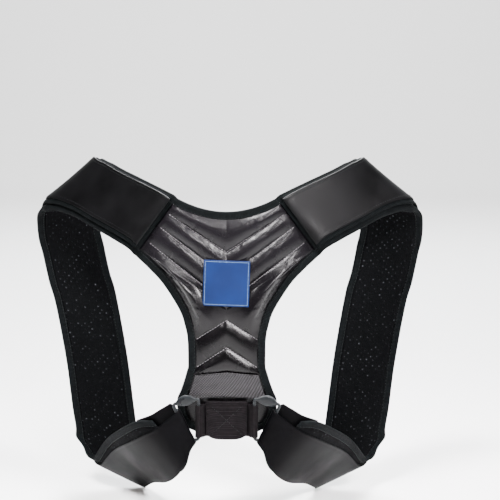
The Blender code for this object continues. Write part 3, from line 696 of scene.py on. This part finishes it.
def leather():
    """Dark satin leather cloth with a fine pebble grain and soft creases."""
    m = Nodes("leather", 0.26, (0.004, 0.004, 0.004), specular=0.15, coat=0.03, coat_rough=0.15)
    grain = m.cells(m.place, 900, "DISTANCE_TO_EDGE")
    grain = m.span(grain, 0.0, 0.25)
    crease = m.noise(m.place, 70, 4, 0.6, 0.6)
    patch = m.noise(m.place, 22, 3, 0.5)
    height = m.add("ShaderNodeSeparateXYZ")
    m.link(m.place, height.inputs[0])
    # Painted sheen: the base colour runs lighter towards the top of the panel, standing in for the
    # soft reflection on its flat upper part; the patch noise adds random tone.
    upper = m.span(height.outputs[2], -0.03, 0.06, 0.0, 0.75)
    tone = m.maths("ADD", upper, m.span(patch, 0.3, 0.7, 0.0, 0.25), clamp=True)
    m.colour(m.blend(tone, (0.0004, 0.0003, 0.0004), (0.0046, 0.0040, 0.0050)))
    m.rough(m.span(crease, 0.3, 0.7, 0.20, 0.30))
    m.bump((crease, 0.07, 0.0012), (grain, 0.16, 0.00025))
    return m.material


def woven(name, dark, light, rib, rough):
    """Woven tape: ribs across its run, a finer thread along it, uneven wear."""
    m = Nodes(name, rough, dark, specular=0.05)
    ribs = m.wave(m.uv, rib, "Y", 0.6)
    threads = m.wave(m.uv, rib * 1.7, "X", 0.8)
    mix = m.maths("MULTIPLY", ribs, m.maths("ADD", threads, 0.5))
    wear = m.noise(m.place, 260, 3, 0.6)
    tone = m.maths("MULTIPLY", mix, m.span(wear, 0.35, 0.7, 0.3, 1.0), clamp=True)
    m.colour(m.blend(tone, dark, light))
    m.bump((wear, 0.25, 0.0006), (mix, 0.55, 0.0005))
    return m.material


def mesh_cloth():
    """Perforated face cloth: near black with staggered holes whose rims catch the light."""
    m = Nodes("perforated", 0.85, (0.002, 0.002, 0.003), specular=0.03)
    turned = m.mapped(m.uv, (1, 1, 1), math.radians(45))
    holes = m.cells(turned, 1 / 0.0052, "F1", 0.25)
    rim_light = m.span(holes, 0.10, 0.20, 1.0, 0.0)
    weave = m.noise(m.uv, 900, 2, 0.6)
    uneven = m.noise(m.place, 150, 2, 0.5)
    speck = m.maths("MULTIPLY", rim_light, m.span(uneven, 0.48, 0.68, 0.06, 0.9), clamp=True)
    base = m.blend(m.span(weave, 0.4, 0.7), (0.0005, 0.0006, 0.0007), (0.0018, 0.0020, 0.0024))
    m.colour(m.blend(speck, base, (0.034, 0.036, 0.040)))
    m.bump((weave, 0.4, 0.0004), (m.span(holes, 0.05, 0.22), 0.7, 0.0008))
    return m.material


def smooth_cloth(name, specular):
    """Smooth elastic cloth with a faint run of fine ribs and a soft sheen."""
    m = Nodes(name, 0.40, (0.002, 0.002, 0.002), specular=specular)
    ribs = m.wave(m.uv, 420, "X", 0.3)
    weave = m.noise(m.mapped(m.uv, (1, 0.3, 1)), 1400, 2, 0.5)
    patch = m.noise(m.place, 30, 3, 0.5)
    tone = m.maths("ADD", m.maths("MULTIPLY", weave, 0.5), m.maths("MULTIPLY", patch, 0.5))
    m.colour(m.blend(m.span(tone, 0.38, 0.62), (0.0006, 0.0006, 0.0007), (0.0015, 0.0015, 0.0018)))
    m.rough(m.span(patch, 0.3, 0.7, 0.36, 0.50))
    m.bump((patch, 0.08, 0.002), (ribs, 0.12, 0.0002), (weave, 0.15, 0.0002))
    return m.material


def knit_cloth():
    """Fine knit with slanting rows of loops."""
    m = Nodes("knit", 0.55, (0.02, 0.019, 0.021), specular=0.25)
    left = m.wave(m.mapped(m.uv, (1, 1, 1), math.radians(38)), 135, "X", 0.4)
    right = m.wave(m.mapped(m.uv, (1, 1, 1), math.radians(-52)), 190, "X", 0.4)
    loops = m.maths("MULTIPLY", left, m.maths("ADD", right, 0.4))
    wear = m.noise(m.place, 180, 3, 0.6)
    tone = m.maths("MULTIPLY", loops, m.span(wear, 0.3, 0.7, 0.5, 1.2), clamp=True)
    m.colour(m.blend(tone, (0.0008, 0.0006, 0.0008), (0.024, 0.022, 0.025)))
    m.bump((loops, 0.6, 0.0006))
    return m.material


def plastic():
    """Moulded satin plastic with faint flow marks, and sharp edges coloured lighter as a painted
    highlight.
    """
    m = Nodes("moulded_plastic", 0.26, (0.003, 0.003, 0.003), specular=0.16)
    flow = m.noise(m.place, 120, 3, 0.5)
    geometry = m.add("ShaderNodeNewGeometry")
    # Painted highlight: edges picked out by pointiness get a lighter colour, standing in for glints
    # on the ring's bars.
    painted_edge_highlight = m.span(geometry.outputs["Pointiness"], 0.50, 0.58)
    base = m.blend(m.span(flow, 0.35, 0.65), (0.0020, 0.0024, 0.0028), (0.0040, 0.0046, 0.0052))
    m.colour(m.blend(painted_edge_highlight, base, (0.020, 0.023, 0.025)))
    m.rough(m.span(flow, 0.3, 0.7, 0.22, 0.34))
    m.bump((flow, 0.10, 0.0006))
    return m.material


def thread(name, colour):
    """Twisted sewing thread."""
    m = Nodes(name, 0.6, colour, specular=0.12)
    twist = m.noise(m.place, 2200, 1, 0.5)
    darker = tuple(c * 0.55 for c in colour)
    m.colour(m.blend(m.span(twist, 0.35, 0.65), darker, colour))
    return m.material


def label_cloth():
    """Plain blue patch of close-woven satin, bare."""
    m = Nodes("label_cloth", 0.50, (0.001, 0.025, 0.130), specular=0.14)
    weave = m.wave(m.uv, 700, "Y", 0.2)
    patch = m.noise(m.place, 45, 2, 0.5)
    m.colour(m.blend(m.span(patch, 0.35, 0.65), (0.0002, 0.0065, 0.042), (0.0003, 0.009, 0.055)))
    m.bump((weave, 0.25, 0.0002))
    return m.material


LEATHER = leather()
BINDING = woven("binding_weave", (0.0004, 0.0007, 0.0008), (0.0038, 0.0052, 0.0056), 210, 0.85)
WEBBING = woven("webbing_weave", (0.0004, 0.0003, 0.0004), (0.0075, 0.0058, 0.0067), 170, 0.75)
BACKING = woven("backing_weave", (0.0004, 0.0007, 0.0008), (0.0032, 0.0046, 0.0050), 190, 0.88)
MESH_CLOTH = mesh_cloth()
SMOOTH = smooth_cloth("smooth_cloth", 0.08)
# The under-arm band's copy of the smooth cloth has its reflection turned down: painted shade,
# darkening the band where it faces the bright floor.
SHADED_BAND_CLOTH = smooth_cloth("band_cloth_shaded", 0.02)
KNIT = knit_cloth()
PLASTIC = plastic()
DARK_THREAD = thread("dark_thread", (0.0040, 0.0046, 0.0050))
LIGHT_THREAD = thread("light_thread", (0.16, 0.15, 0.16))
LABEL_CLOTH = label_cloth()
LABEL_EDGE = thread("label_edge", (0.10, 0.17, 0.28))


# Back panel

def panel_grid():
    """Rows, shares across and body-side points x and z of the panel."""
    rows = np.linspace(0, NECK_ROW, PANEL_LINES + 1)
    across = np.linspace(-1, 1, PANEL_COLUMNS + 1)
    share = np.abs(across)
    neck = np.array([neck_edge(a) + neck_inward(a) * (BINDING_WIDTH - TUCK) for a in share])
    top = np.array([lerp(ROW_CENTRES[NECK_ROW], ROW_EDGES[NECK_ROW], a) for a in share])
    grid = []
    for row in rows:
        centre, edge = np.array(spline(ROW_CENTRES, row)), np.array(inset_edge(row))
        reach = np.linalg.norm(edge - centre)
        tuck = TUCK if row < CORNER_ROW else SEAM_GAP
        line = centre + (edge - centre) * (share * (1 + tuck / reach))[:, None]
        line = line + (neck - top) * max(row - TOP_VEE, 0.0) / (NECK_ROW - TOP_VEE)
        grid.append(line)
    return rows, across, np.array(grid)


def row_value(rows, column):
    return np.interp(rows, np.arange(NECK_ROW + 1), [row[column] for row in ROWS])


SEWN_ROWS = [ROW_NAMES.index(n) for n in ("seam", "low_peak", "high_peak", "low_vee",
                                          "mid_vee", "top_vee")]


def padding(rows, across, x, z):
    """Thickness of the quilted panel over its grid."""
    puff = 1 - (1 - row_value(rows, 3)) ** 2
    ridge = row_value(rows, 4)
    share = np.abs(across)
    fade = 1 - share ** 6
    crest = np.sin(math.pi * share ** 1.9) ** 3
    thick = PANEL_WALL + PUFF * np.outer(puff, fade)
    thick = thick + RIDGE * RIDGE_GAIN * np.outer(ridge, crest)
    near = np.min([np.abs(rows - r) for r in SEWN_ROWS], axis=0)[:, None]
    pucker = noise(x * 150, z * 150 + 7, 3) * 0.00018 + noise(x * 320, z * 90, 9) * 0.00009
    pull = np.exp(-(near / 0.42) ** 2)
    thick = thick + pucker * (0.35 + 0.9 * pull) * fade
    thick = thick - 0.0006 * np.exp(-(near / 0.07) ** 2) * fade
    under_label = PANEL_WALL + 0.5 * PUFF * np.exp(-(x / 0.008) ** 2 - ((z + 0.004) / 0.006) ** 2)
    return np.maximum(thick, under_label)


def build_panel():
    rows, across, grid = panel_grid()
    x, z = grid[..., 0], grid[..., 1]
    thick = padding(rows, across, x, z)
    forward = bend(x, z)
    signed = x * np.where(across < 0, -1, 1)
    inner = np.stack([signed, forward, z], -1)
    outer = np.stack([signed, forward - thick, z], -1)
    near = np.min([np.abs(rows - r) for r in SEWN_ROWS], axis=0)
    pinned = np.zeros(outer.shape[:2], bool)
    pinned[near < SEWN_REACH] = True
    pinned[:HELD_LINES] = pinned[-HELD_LINES:] = True
    pinned[:, :HELD_LINES] = pinned[:, -HELD_LINES:] = True
    outer = settled(outer, pinned, QUILT_PRESSURE, QUILT_GROWTH, QUILT_CAP)
    panel = closed_sheet("quilted_panel", outer, inner, LEATHER)
    declare(panel, "back_panel")

    runs = []
    for r in SEWN_ROWS[1:]:
        i = int(np.argmin(np.abs(rows - r)))
        for low, high in ((3, PANEL_COLUMNS // 2), (PANEL_COLUMNS // 2, PANEL_COLUMNS - 3)):
            line = outer[i, low:high + 1].copy()
            line[:, 1] -= 0.0003
            runs.append((line, outward(len(line))))
    sewn = stitches("panel_stitches", runs, LIGHT_THREAD, *PANEL_STITCH)
    declare(sewn)

    low, high = ROW_NAMES.index("knit_foot"), ROW_NAMES.index("seam")
    lines = np.linspace(low - KNIT_FOOT, high, 40)
    shares = np.linspace(-1, 1, 121)
    knit = []
    for row in lines:
        centre, edge = np.array(spline(ROW_CENTRES, row)), np.array(inset_edge(row))
        line = centre + (edge - centre) * (np.abs(shares) * KNIT_REACH)[:, None]
        line[:, 0] *= np.where(shares < 0, -1, 1)
        knit.append(line)
    knit = np.array(knit)
    kx, kz = knit[..., 0], knit[..., 1]
    lift = PANEL_WALL + SEAM_GAP
    folds = 0.0004 * noise(kx * 60, kz * 200, 5) + 0.0003
    body = np.stack([kx, bend(kx, kz) - lift, kz], -1)
    face = np.stack([kx, bend(kx, kz) - lift - KNIT_THICK - folds, kz], -1)
    piece = closed_sheet("knit_panel", face, body, KNIT)
    declare(piece, "knit_section")
    seam = []
    for row in (-2, 2):
        line = face[row].copy()
        line[:, 1] -= 0.0002
        seam.append((line, outward(len(line))))
    sewn = stitches("knit_stitches", seam, DARK_THREAD, *KNIT_STITCH)
    declare(sewn)


def build_label():
    turn = math.radians(LABEL_TURN)
    u = np.linspace(-0.5, 0.5, 61)
    gx, gz = np.meshgrid(u, u)
    corner = 0.018
    x, z = gx * LABEL_SIZE, gz * LABEL_SIZE
    wx = x * math.cos(turn) + z * math.sin(turn)
    wz = LABEL_Z + z * math.cos(turn) - x * math.sin(turn)
    lift = PANEL_WALL + PUFF + 1.5 * SEAM_GAP
    edge = np.minimum(0.5 - np.abs(gx), 0.5 - np.abs(gz))
    border = np.clip(1 - edge / corner, 0, 1)
    wave = 0.00025 * noise(x * 60, z * 60, 2)
    face = np.stack([wx, bend(wx, wz) - lift - LABEL_THICK * (0.75 + 0.25 * border) - wave, wz], -1)
    body = np.stack([wx, bend(wx, wz) - lift, wz], -1)
    patch = closed_sheet("label_patch", face, body, LABEL_CLOTH)
    declare(patch, "label")
    k = 2
    ring = np.concatenate([face[k, k:-k], face[k:-k, -k - 1], face[-k - 1, k:-k][::-1],
                           face[k:-k, k][::-1]])
    ring[:, 1] -= 0.0001
    sewn = stitches("label_edge_stitches", [(ring, outward(len(ring)))],
                    LABEL_EDGE, *LABEL_STITCH)
    declare(sewn)


# Bound edges

def tape_section(count):
    """Shares u across a bound edge and its half thickness, rounded at the free side."""
    u = across_steps(count, 1.8)
    return u, rim(u, BINDING_WIDTH, BINDING_THICK * 0.42)


def bound_edge(name, inner, outer, out):
    """A bound edge between two lines of points, with outer directions."""
    u, round_off = tape_section(14)
    along = run_length(outer)
    pucker = noise(along[:, None] * 210, u[None, :] * 3, 4) * 0.00016
    lip = 0.00035 * np.exp(-((u - 0.16) / 0.07) ** 2)[None, :]
    half = BINDING_THICK / 2 * round_off[None, :] + (pucker + lip) * round_off[None, :]
    near = np.clip(np.minimum(along, along[-1] - along) / 0.002, 0, 1)
    half = half * np.sqrt(1 - (1 - near) ** 2)[:, None]
    base = inner[:, None] + (outer - inner)[:, None] * u[None, :, None]
    top = base + out[:, None] * half[..., None]
    bottom = base - out[:, None] * half[..., None]
    piece = closed_sheet(name, top, bottom, BINDING)
    j = int(np.argmin(np.abs(u - BINDING_SEAM)))
    runs = [(top[:, j] + out * 0.00005, out), (bottom[:, j] - out * 0.00005, -out)]
    sewn = stitches(name + "_stitches", runs, DARK_THREAD, *EDGE_STITCH)
    return piece, sewn, along[-1]


def declare_binding(piece, sewn, node):
    declare(piece, node)
    declare(sewn)


def build_bindings():
    middle = PANEL_WALL / 2
    shares = np.linspace(-1, 1, 150)
    outer2 = np.array([neck_edge(abs(a)) for a in shares])
    inner2 = np.array([neck_edge(abs(a)) + neck_inward(abs(a)) * BINDING_WIDTH for a in shares])

    def lift(flat):
        sign = np.where(shares < 0, -1, 1)
        return np.stack([flat[:, 0] * sign, bend(flat[:, 0], flat[:, 1]) - middle, flat[:, 1]], -1)

    out = outward(len(shares))
    piece, sewn, length = bound_edge("neck_bound_edge", lift(inner2), lift(outer2), out)
    declare_binding(piece, sewn, "neck_binding")

    places = spread(0.0, station("pad_end"), 0.0024)
    share = 1 - 2 * BINDING_WIDTH / STRAP_WIDTH
    mid, half, out = frames(places)
    edge_rows = np.linspace(0, CORNER_ROW, 130)
    for side, mirror in SIDES:
        flip = flipped(mirror)
        rows_out = np.array([spline(ARMHOLE, r) for r in edge_rows])
        rows_in = np.array([inset_edge(r) for r in edge_rows])
        rows_in = rows_in + (rows_out - rows_in) * SEAM_GAP / BINDING_WIDTH

        def on_panel(flat):
            return np.stack([-flat[:, 0], bend(flat[:, 0], flat[:, 1]) - middle, flat[:, 1]], -1)

        draw = end_round(places)[:, None]
        inner = np.concatenate([on_panel(rows_in), (mid + half * (-share + draw))[1:]])
        outer = np.concatenate([on_panel(rows_out), (mid + half * (-1.0 + draw))[1:]])
        normal = np.concatenate([outward(len(edge_rows)), out[1:]])
        blend = len(edge_rows)
        for k in range(-14, 14):
            t = (k + 14) / 28
            normal[blend + k] = lerp(normal[blend - 15], normal[blend + 14], t)
        normal /= np.linalg.norm(normal, axis=1)[:, None]
        piece, sewn, length = bound_edge("armhole_bound_edge_" + side, inner * flip, outer * flip,
                                         normal * flip)
        declare_binding(piece, sewn, "armhole_binding_" + side)
        drawn = fold_draw(places)[:, None]
        inner, outer = mid + half * (share - drawn), mid + half * (1.0 - drawn)
        piece, sewn, length = bound_edge("loop_bound_edge_" + side, inner * flip, outer * flip,
                                         out * flip)
        declare_binding(piece, sewn, "loop_binding_" + side)


# Loops

def build_loops():
    edge = 1 - 2 * (BINDING_WIDTH - TUCK) / STRAP_WIDTH
    pad_half = PAD_THICK / 2
    wing_run = (MIDDLES[1] - MIDDLES[0]).length
    cover_first, cover_last = station("cover_end") - 0.45, station("front_2") + 0.25
    for side, mirror in SIDES:
        seed = 20 if mirror else 10

        def pad_detail(x, y):
            folds = noise(x * 35, y * 45, seed) * 0.0005
            return folds + 0.0004 * noise(x * 110, y * 120, seed + 1)

        pad = loop_piece("padded_strap_" + side, MESH_CLOTH, mirror,
                         spread(0.0, station("pad_end"), 0.0028), 26,
                         lambda s: (-edge + float(end_round(s)), edge - float(fold_draw(s))),
                         -pad_half, pad_half,
                         0.0035, pad_detail, pad_detail)
        declare(pad, "shoulder_strap_" + side)

        base = pad_half + SEAM_GAP * 1.5
        top = base + BACKING_THICK
        wide = BACKING_WIDTH / STRAP_WIDTH
        covered = spread(cover_first, cover_last, 0.0026)
        backing = loop_piece("cover_backing_strip_" + side, BACKING, mirror, covered, 24,
                             lambda s: (-wide + COVER_SHIFT / 2, wide + COVER_SHIFT / 2),
                             base, top, 0.0016,
                             lambda x, y: 0.0002 * noise(x * 90, y * 160, seed + 2))
        declare(backing, "cover_backing_" + side)

        face = top + SEAM_GAP
        share = COVER_WIDTH / STRAP_WIDTH

        def cover_detail(x, y):
            hem = -0.00012 * np.exp(-((np.abs(x) - COVER_WIDTH / 2 + COVER_HEM) / 0.0008) ** 2)
            return hem + 0.0005 * noise(x * 22, y * 34, seed + 3)

        cover = loop_piece("shoulder_cover_sheet_" + side, SMOOTH, mirror, covered, 30,
                           lambda s: (-share + COVER_SHIFT, share + COVER_SHIFT), face,
                           face + COVER_THICK, 0.0009, cover_detail)
        declare(cover, "shoulder_cover_" + side)
        mid, half, out = frames(covered)
        flip = flipped(mirror)
        runs = []
        inset = share - 2 * COVER_HEM / STRAP_WIDTH
        for w in (-inset + COVER_SHIFT, inset + COVER_SHIFT):
            line = mid + half * w + out * (face + COVER_THICK + 0.00005)
            runs.append((line[2:-2] * flip, out[2:-2] * flip))
        sewn = stitches("cover_stitches_" + side, runs, DARK_THREAD, *COVER_STITCH)
        declare(sewn)

        lift = pad_half + SEAM_GAP
        tape = spread(SEAM_GAP / wing_run, TAPE_WIDTH / wing_run, 0.0007)
        piece = loop_piece("wing_tape_strip_" + side, BINDING, mirror, tape, 60,
                           lambda s: (-edge, edge), lift, lift + TAPE_THICK, 0.0005,
                           lambda x, y: 0.0001 * noise(x * 300, y * 300, seed + 4))
        declare(piece, "wing_tape_" + side)
        build_band(side, mirror)


def build_band(side, mirror):
    """The under-arm band: from the pad's end, round the ring's bar, back over the pad."""
    pad_end, ring = station("pad_end"), station("ring")
    offset = PAD_THICK / 2 + SEAM_GAP * 1.5 + BAND_THICK / 2
    turn_offset = RING_BAR / 2 + BAND_CLEAR + BAND_THICK / 2
    run = (MIDDLES[-1] - MIDDLES[-2]).length
    turn_at = ring - turn_offset / run
    overlap = BAND_OVERLAP / (MIDDLES[-2] - MIDDLES[-3]).length
    fold_end = station("fold_%d" % FOLD_STEPS)

    def side_offset(s):
        return lerp(offset, turn_offset, float(smooth((s - pad_end + 0.2) / BAND_EASE)))

    path = [(s, -side_offset(s)) for s in spread(pad_end - overlap, turn_at, 0.0016)]
    for angle in np.linspace(0, math.pi, 16)[1:-1]:
        path.append((turn_at + math.sin(angle) * turn_offset / run, -math.cos(angle) * turn_offset))
    path += [(s, side_offset(s)) for s in spread(station("front_4") + 0.1, turn_at, 0.0022)[::-1]]
    places = [p[0] for p in path]
    offsets = np.array([p[1] for p in path])
    mid, half, out = frames(places)
    u = across_steps(34)
    upper = np.array([lerp(BAND_EDGE_FOLD, BAND_EDGE_RING,
                           min(max((s - fold_end) / (pad_end - fold_end), 0.0), 1.0) ** 0.7)
                      for s in places])
    far = (offsets < 0) * smooth((ring - np.array(places) - 0.15) / FAR_EASE)
    upper = upper - FAR_LIFT * far
    turn = station("fold_%d" % (FOLD_STEPS // 2))
    share = np.clip((np.array(places) - turn) / (ring - turn), 0, 1)
    lower = lerp(BAND_FOOT_FOLD, BAND_FOOT_RING, smooth(share / BAND_FOOT_RUN))
    lower = lower - BAND_DRAW * fold_draw(np.array(places))
    w = upper[:, None] + (lower - upper)[:, None] * u[None, :]
    centre = mid[:, None] + half[:, None] * w[..., None] + out[:, None] * offsets[:, None, None]
    ahead = np.gradient(centre, axis=0)
    sideways = np.gradient(centre, axis=1)
    normal = np.cross(sideways, ahead)
    normal /= np.linalg.norm(normal, axis=2)[..., None]
    if (normal[-1] @ out[-1]).mean() < 0:
        normal = -normal
    width = np.linalg.norm(np.diff(centre, axis=1), axis=2).sum(1)
    along = run_length(mid)
    x = (u[None, :] - 0.5) * width[:, None]
    y = along[:, None] + 0 * x
    seed = 40 if mirror else 30
    near_ring = np.exp(-((np.array(places) - ring) / 1.2) ** 2)[:, None]
    gather = 0.0001 * np.sin(u[None, :] * 26 + noise(x * 20, y * 20, seed) * 2) * near_ring
    shape = gather + 0.0004 * noise(x * 25, y * 40, seed + 1)
    centre = centre + normal * shape[..., None]
    round_off = rim(u[None, :], width[:, None], 0.0009)
    near = np.clip(np.minimum(along, along[-1] - along) / 0.0009, 0, 1)
    round_off = np.minimum(round_off, np.sqrt(1 - (1 - near) ** 2)[:, None])
    hem = 0.0002 * np.exp(-((np.abs(x) - width[:, None] / 2 + 0.003) / 0.0009) ** 2)
    reach = (BAND_THICK / 2 - hem) * round_off
    flip = flipped(mirror)
    top = (centre + normal * reach[..., None]) * flip
    bottom = (centre - normal * reach[..., None]) * flip
    piece = closed_sheet("underarm_band_strip_" + side, top, bottom, SHADED_BAND_CLOTH)
    declare(piece, "underarm_band_" + side)


# Rings and foot tab

def ring_outline(steps):
    """Points round a ring's middle line, with the height of its bar at each."""
    corners = [np.array(c) for c in ((0.0, RING_TOP), (RING_BREADTH, RING_TOP - RING_FALL),
                                     (RING_FOOT_BREADTH, -RING_FOOT), (0.0, -RING_FOOT))]
    points, heights = [], []
    for i, corner in enumerate(corners):
        before = corners[i - 1] - corner
        after = corners[(i + 1) % 4] - corner
        a = corner + before / np.linalg.norm(before) * RING_CORNER
        b = corner + after / np.linalg.norm(after) * RING_CORNER
        for t in np.linspace(0, 1, steps):
            points.append(lerp(lerp(a, corner, t), lerp(corner, b, t), t))
            heights.append(RING_BAR)
        following = corners[(i + 1) % 4]
        c = following - after / np.linalg.norm(after) * RING_CORNER
        for t in np.linspace(0, 1, 12)[1:-1]:
            points.append(lerp(b, c, t))
            blade = 1 - (2 * t - 1) ** 2 if i == 0 else 0.0
            heights.append(lerp(RING_BAR, RING_BLADE, blade))
    return np.array(points), np.array(heights)


def build_rings():
    for side, sign in (("left", -1), ("right", 1)):
        points, heights = ring_outline(7)
        ahead = np.roll(points, -1, axis=0) - np.roll(points, 1, axis=0)
        ahead /= np.linalg.norm(ahead, axis=1)[:, None]
        away = np.stack([-ahead[:, 1], ahead[:, 0]], -1)
        sides = 20
        angle = 2 * math.pi * np.arange(sides) / sides
        power = 0.7
        cos = np.sign(np.cos(angle)) * np.abs(np.cos(angle)) ** power
        sin = np.sign(np.sin(angle)) * np.abs(np.sin(angle)) ** power
        swell = (heights[:, None] - RING_BAR) / 2 * RING_SWELL
        flat = points[:, None] + away[:, None] * (heights[:, None] / 2 * cos + swell)[..., None]
        deep = np.tile(sin * RING_BAR / 2, (len(points), 1))
        x = sign * (RING_X + flat[..., 0])
        grid = np.stack([x, -ring_face() + deep, -RING_Z + flat[..., 1]], -1)
        rows, columns = grid.shape[:2]
        index = np.arange(rows * columns).reshape(rows, columns)
        right, down = np.roll(index, -1, axis=1), np.roll(index, -1, axis=0)
        both = np.roll(right, -1, axis=0)
        faces = np.stack([index, right, both, down], -1).reshape(-1, 4)
        ring = make_mesh("ring_buckle_" + side, grid.reshape(-1, 3), faces,
                         np.zeros((len(faces), 4, 2)), PLASTIC)
        declare(ring, "ring_" + side)

        bar = np.array([RING_X, ring_face()])
        wrap = RING_BAR / 2 + WEB_CLEAR + WEB_THICK / 2
        back = PANEL_WALL + WEB_SEAT + SEAM_GAP + WEB_THICK / 2
        front = back + WEB_THICK + SEAM_GAP * 2
        path = [(WEB_HEM, back), (lerp(TAB_HALF, RING_X, 0.5), back)]
        for step in range(7):
            a = math.radians(-60 + 30 * step)
            path.append((bar[0] + math.cos(a) * wrap, bar[1] + math.sin(a) * wrap))
        path += [(lerp(TAB_HALF, RING_X, 0.35), lerp(bar[1] + wrap, front, 0.55)),
                 (TAB_HALF, front), (WEB_HEM, front)]
        knots = [Vector(p) for p in path]
        fine = np.array([spline(knots, t) for t in np.linspace(0, len(knots) - 1, 90)])
        ahead = np.gradient(fine, axis=0)
        ahead /= np.linalg.norm(ahead, axis=1)[:, None]
        push = np.stack([ahead[:, 1], -ahead[:, 0]], -1)
        u = across_steps(30)
        along = run_length(fine)
        round_off = rim(u, WEB_HEIGHT, 0.0007)[None, :]
        ribs = 0.00012 * np.sin(u * math.pi * 22)[None, :]
        reach = (WEB_THICK / 2 + ribs) * round_off + 0 * along[:, None]

        def place(n):
            flat = fine[:, None] + push[:, None] * n[..., None]
            z = np.tile(-RING_Z + (u - 0.5) * WEB_HEIGHT, (len(fine), 1))
            return np.stack([sign * flat[..., 0], -flat[..., 1], z], -1)

        web = closed_sheet("ring_webbing_" + side, place(reach), place(-reach), WEBBING)
        declare(web, "ring_loop_" + side)


def build_tab():
    back = PANEL_WALL + WEB_SEAT + 2 * WEB_THICK + SEAM_GAP * 5
    top = -RING_Z + WEB_HEIGHT / 2 + TAB_RISE
    across = across_steps(70) * 2 - 1
    v = across_steps(70)
    a, b = np.meshgrid(across, v)
    bottom = top - TAB_HEIGHT + TAB_CURVE * a ** 4
    z = lerp(bottom, top, b)
    x = a * TAB_HALF
    round_off = np.minimum(rim((a + 1) / 2, 2 * TAB_HALF, 0.0012), rim(b, TAB_HEIGHT, 0.0012))
    px, pz = x / TAB_HALF, (z - (top - TAB_HEIGHT / 2)) / (TAB_HEIGHT / 2)
    cross = np.minimum(np.abs(px * 0.86 - pz), np.abs(px * 0.86 + pz))
    inside = (np.abs(px) < 0.8) & (np.abs(pz) < 0.8)
    groove = -0.0004 * np.exp(-(cross / 0.05) ** 2) * inside
    shape = groove + 0.00025 * noise(x * 120, z * 120, 6)
    shape = shape + 0.0002 * np.sin(z * 2 * math.pi / 0.0042)
    middle = back + TAB_THICK / 2
    face = np.stack([x, -(middle + (TAB_THICK / 2 + shape) * round_off), z], -1)
    body = np.stack([x, -(middle - TAB_THICK / 2 * round_off), z], -1)
    tab = closed_sheet("foot_tab_webbing", face, body, WEBBING)
    declare(tab, "foot_tab")
    y = -(back + TAB_THICK - 0.0001)
    mid_z = top - TAB_HEIGHT / 2
    w, h = TAB_HALF * 0.72, TAB_HEIGHT * 0.36
    runs = []
    for (x0, z0), (x1, z1) in (((-w, -h), (w, h)), ((-w, h), (w, -h))):
        t = np.linspace(0, 1, 30)[:, None]
        line = lerp(np.array([x0, y, mid_z + z0]), np.array([x1, y, mid_z + z1]), t)
        runs.append((line, outward(30)))
    sewn = stitches("tab_stitches", runs, DARK_THREAD, *TAB_STITCH)
    declare(sewn)


# Stage, light and camera

def build_stage():
    floor_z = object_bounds()[0][2] - 0.0005
    front, back, radius, side, top = -6.0, 4.0, 3.0, 9.0, 7.0
    profile = [(front, 0.0), (back, 0.0)]
    for step in range(1, 25):
        angle = math.radians(90 * step / 24)
        profile.append((back + radius * math.sin(angle), radius * (1 - math.cos(angle))))
    profile.append((back + radius, top))
    points = [(x, y, floor_z + z) for y, z in profile for x in (-side, side)]
    faces = [(2 * i, 2 * i + 1, 2 * i + 3, 2 * i + 2) for i in range(len(profile) - 1)]
    mesh = bpy.data.meshes.new("floor")
    mesh.from_pydata(points, [], faces)
    mesh.shade_smooth()
    m = Nodes("floor", 0.7, (0.93, 0.93, 0.93), specular=0.1)
    mesh.materials.append(m.material)
    floor = bpy.data.objects.new("floor", mesh)
    bpy.context.scene.collection.objects.link(floor)

    world = bpy.data.worlds.new("studio")
    world.use_nodes = True
    world.node_tree.nodes["Background"].inputs[0].default_value = (1.0, 1.0, 1.0, 1)
    world.node_tree.nodes["Background"].inputs[1].default_value = 0.20
    bpy.context.scene.world = world

    for name, place, size, power, spread_angle, colour in (
            ("key", (-0.5, -0.9, 1.6), 0.5, 19, 60, (1.0, 0.975, 0.985)),
            ("side", (1.1, -0.9, 1.2), 0.5, 15, 60, (1.0, 0.96, 0.975)),
            ("front", (0.35, -1.6, 1.0), 0.20, 1.8, 40, (1.0, 0.97, 0.98)),
            ("back", (0.1, 1.7, 1.9), 1.6, 175, 150, (0.97, 0.985, 1.0)),
            ("wall", (0.0, 2.5, 3.5), 3.0, 480, 180, (1.0, 1.0, 1.0))):
        light = bpy.data.lights.new(name, "AREA")
        light.shape = "DISK"
        light.size = size
        light.energy = power
        light.color = colour
        light.spread = math.radians(spread_angle)
        lamp = bpy.data.objects.new(name, light)
        lamp.location = place
        target = Vector((0, 7.0, 1.5)) if name == "wall" else Vector((0, 0.02, -0.03))
        direction = target - Vector(place)
        lamp.rotation_euler = direction.to_track_quat("-Z", "Y").to_euler()
        bpy.context.scene.collection.objects.link(lamp)


def build_camera():
    """The photo's camera: 1.5 m away, a little above and to the right."""
    azimuth, elevation, distance = math.radians(1.7), math.radians(10), 1.5
    back = Vector((math.sin(azimuth) * math.cos(elevation),
                   -math.cos(azimuth) * math.cos(elevation), math.sin(elevation)))
    right = Vector((math.cos(azimuth), math.sin(azimuth), 0.0))
    up = back.cross(right)
    centre = IMAGE / 2
    aim = (-back + right * ((centre - ORIGIN[0]) / FOCAL)
           + up * ((ORIGIN[1] - centre) / FOCAL))
    data = bpy.data.cameras.new("camera")
    data.sensor_width = 36
    data.lens = 36 * FOCAL / IMAGE
    data.clip_end = 50
    camera = bpy.data.objects.new("camera", data)
    camera.location = back * distance
    camera.rotation_euler = aim.to_track_quat("-Z", "Y").to_euler()
    bpy.context.scene.collection.objects.link(camera)
    bpy.context.scene.camera = camera


build_panel()
build_label()
build_bindings()
build_loops()
build_rings()
build_tab()
build_stage()
build_camera()

bpy.context.view_layer.update()
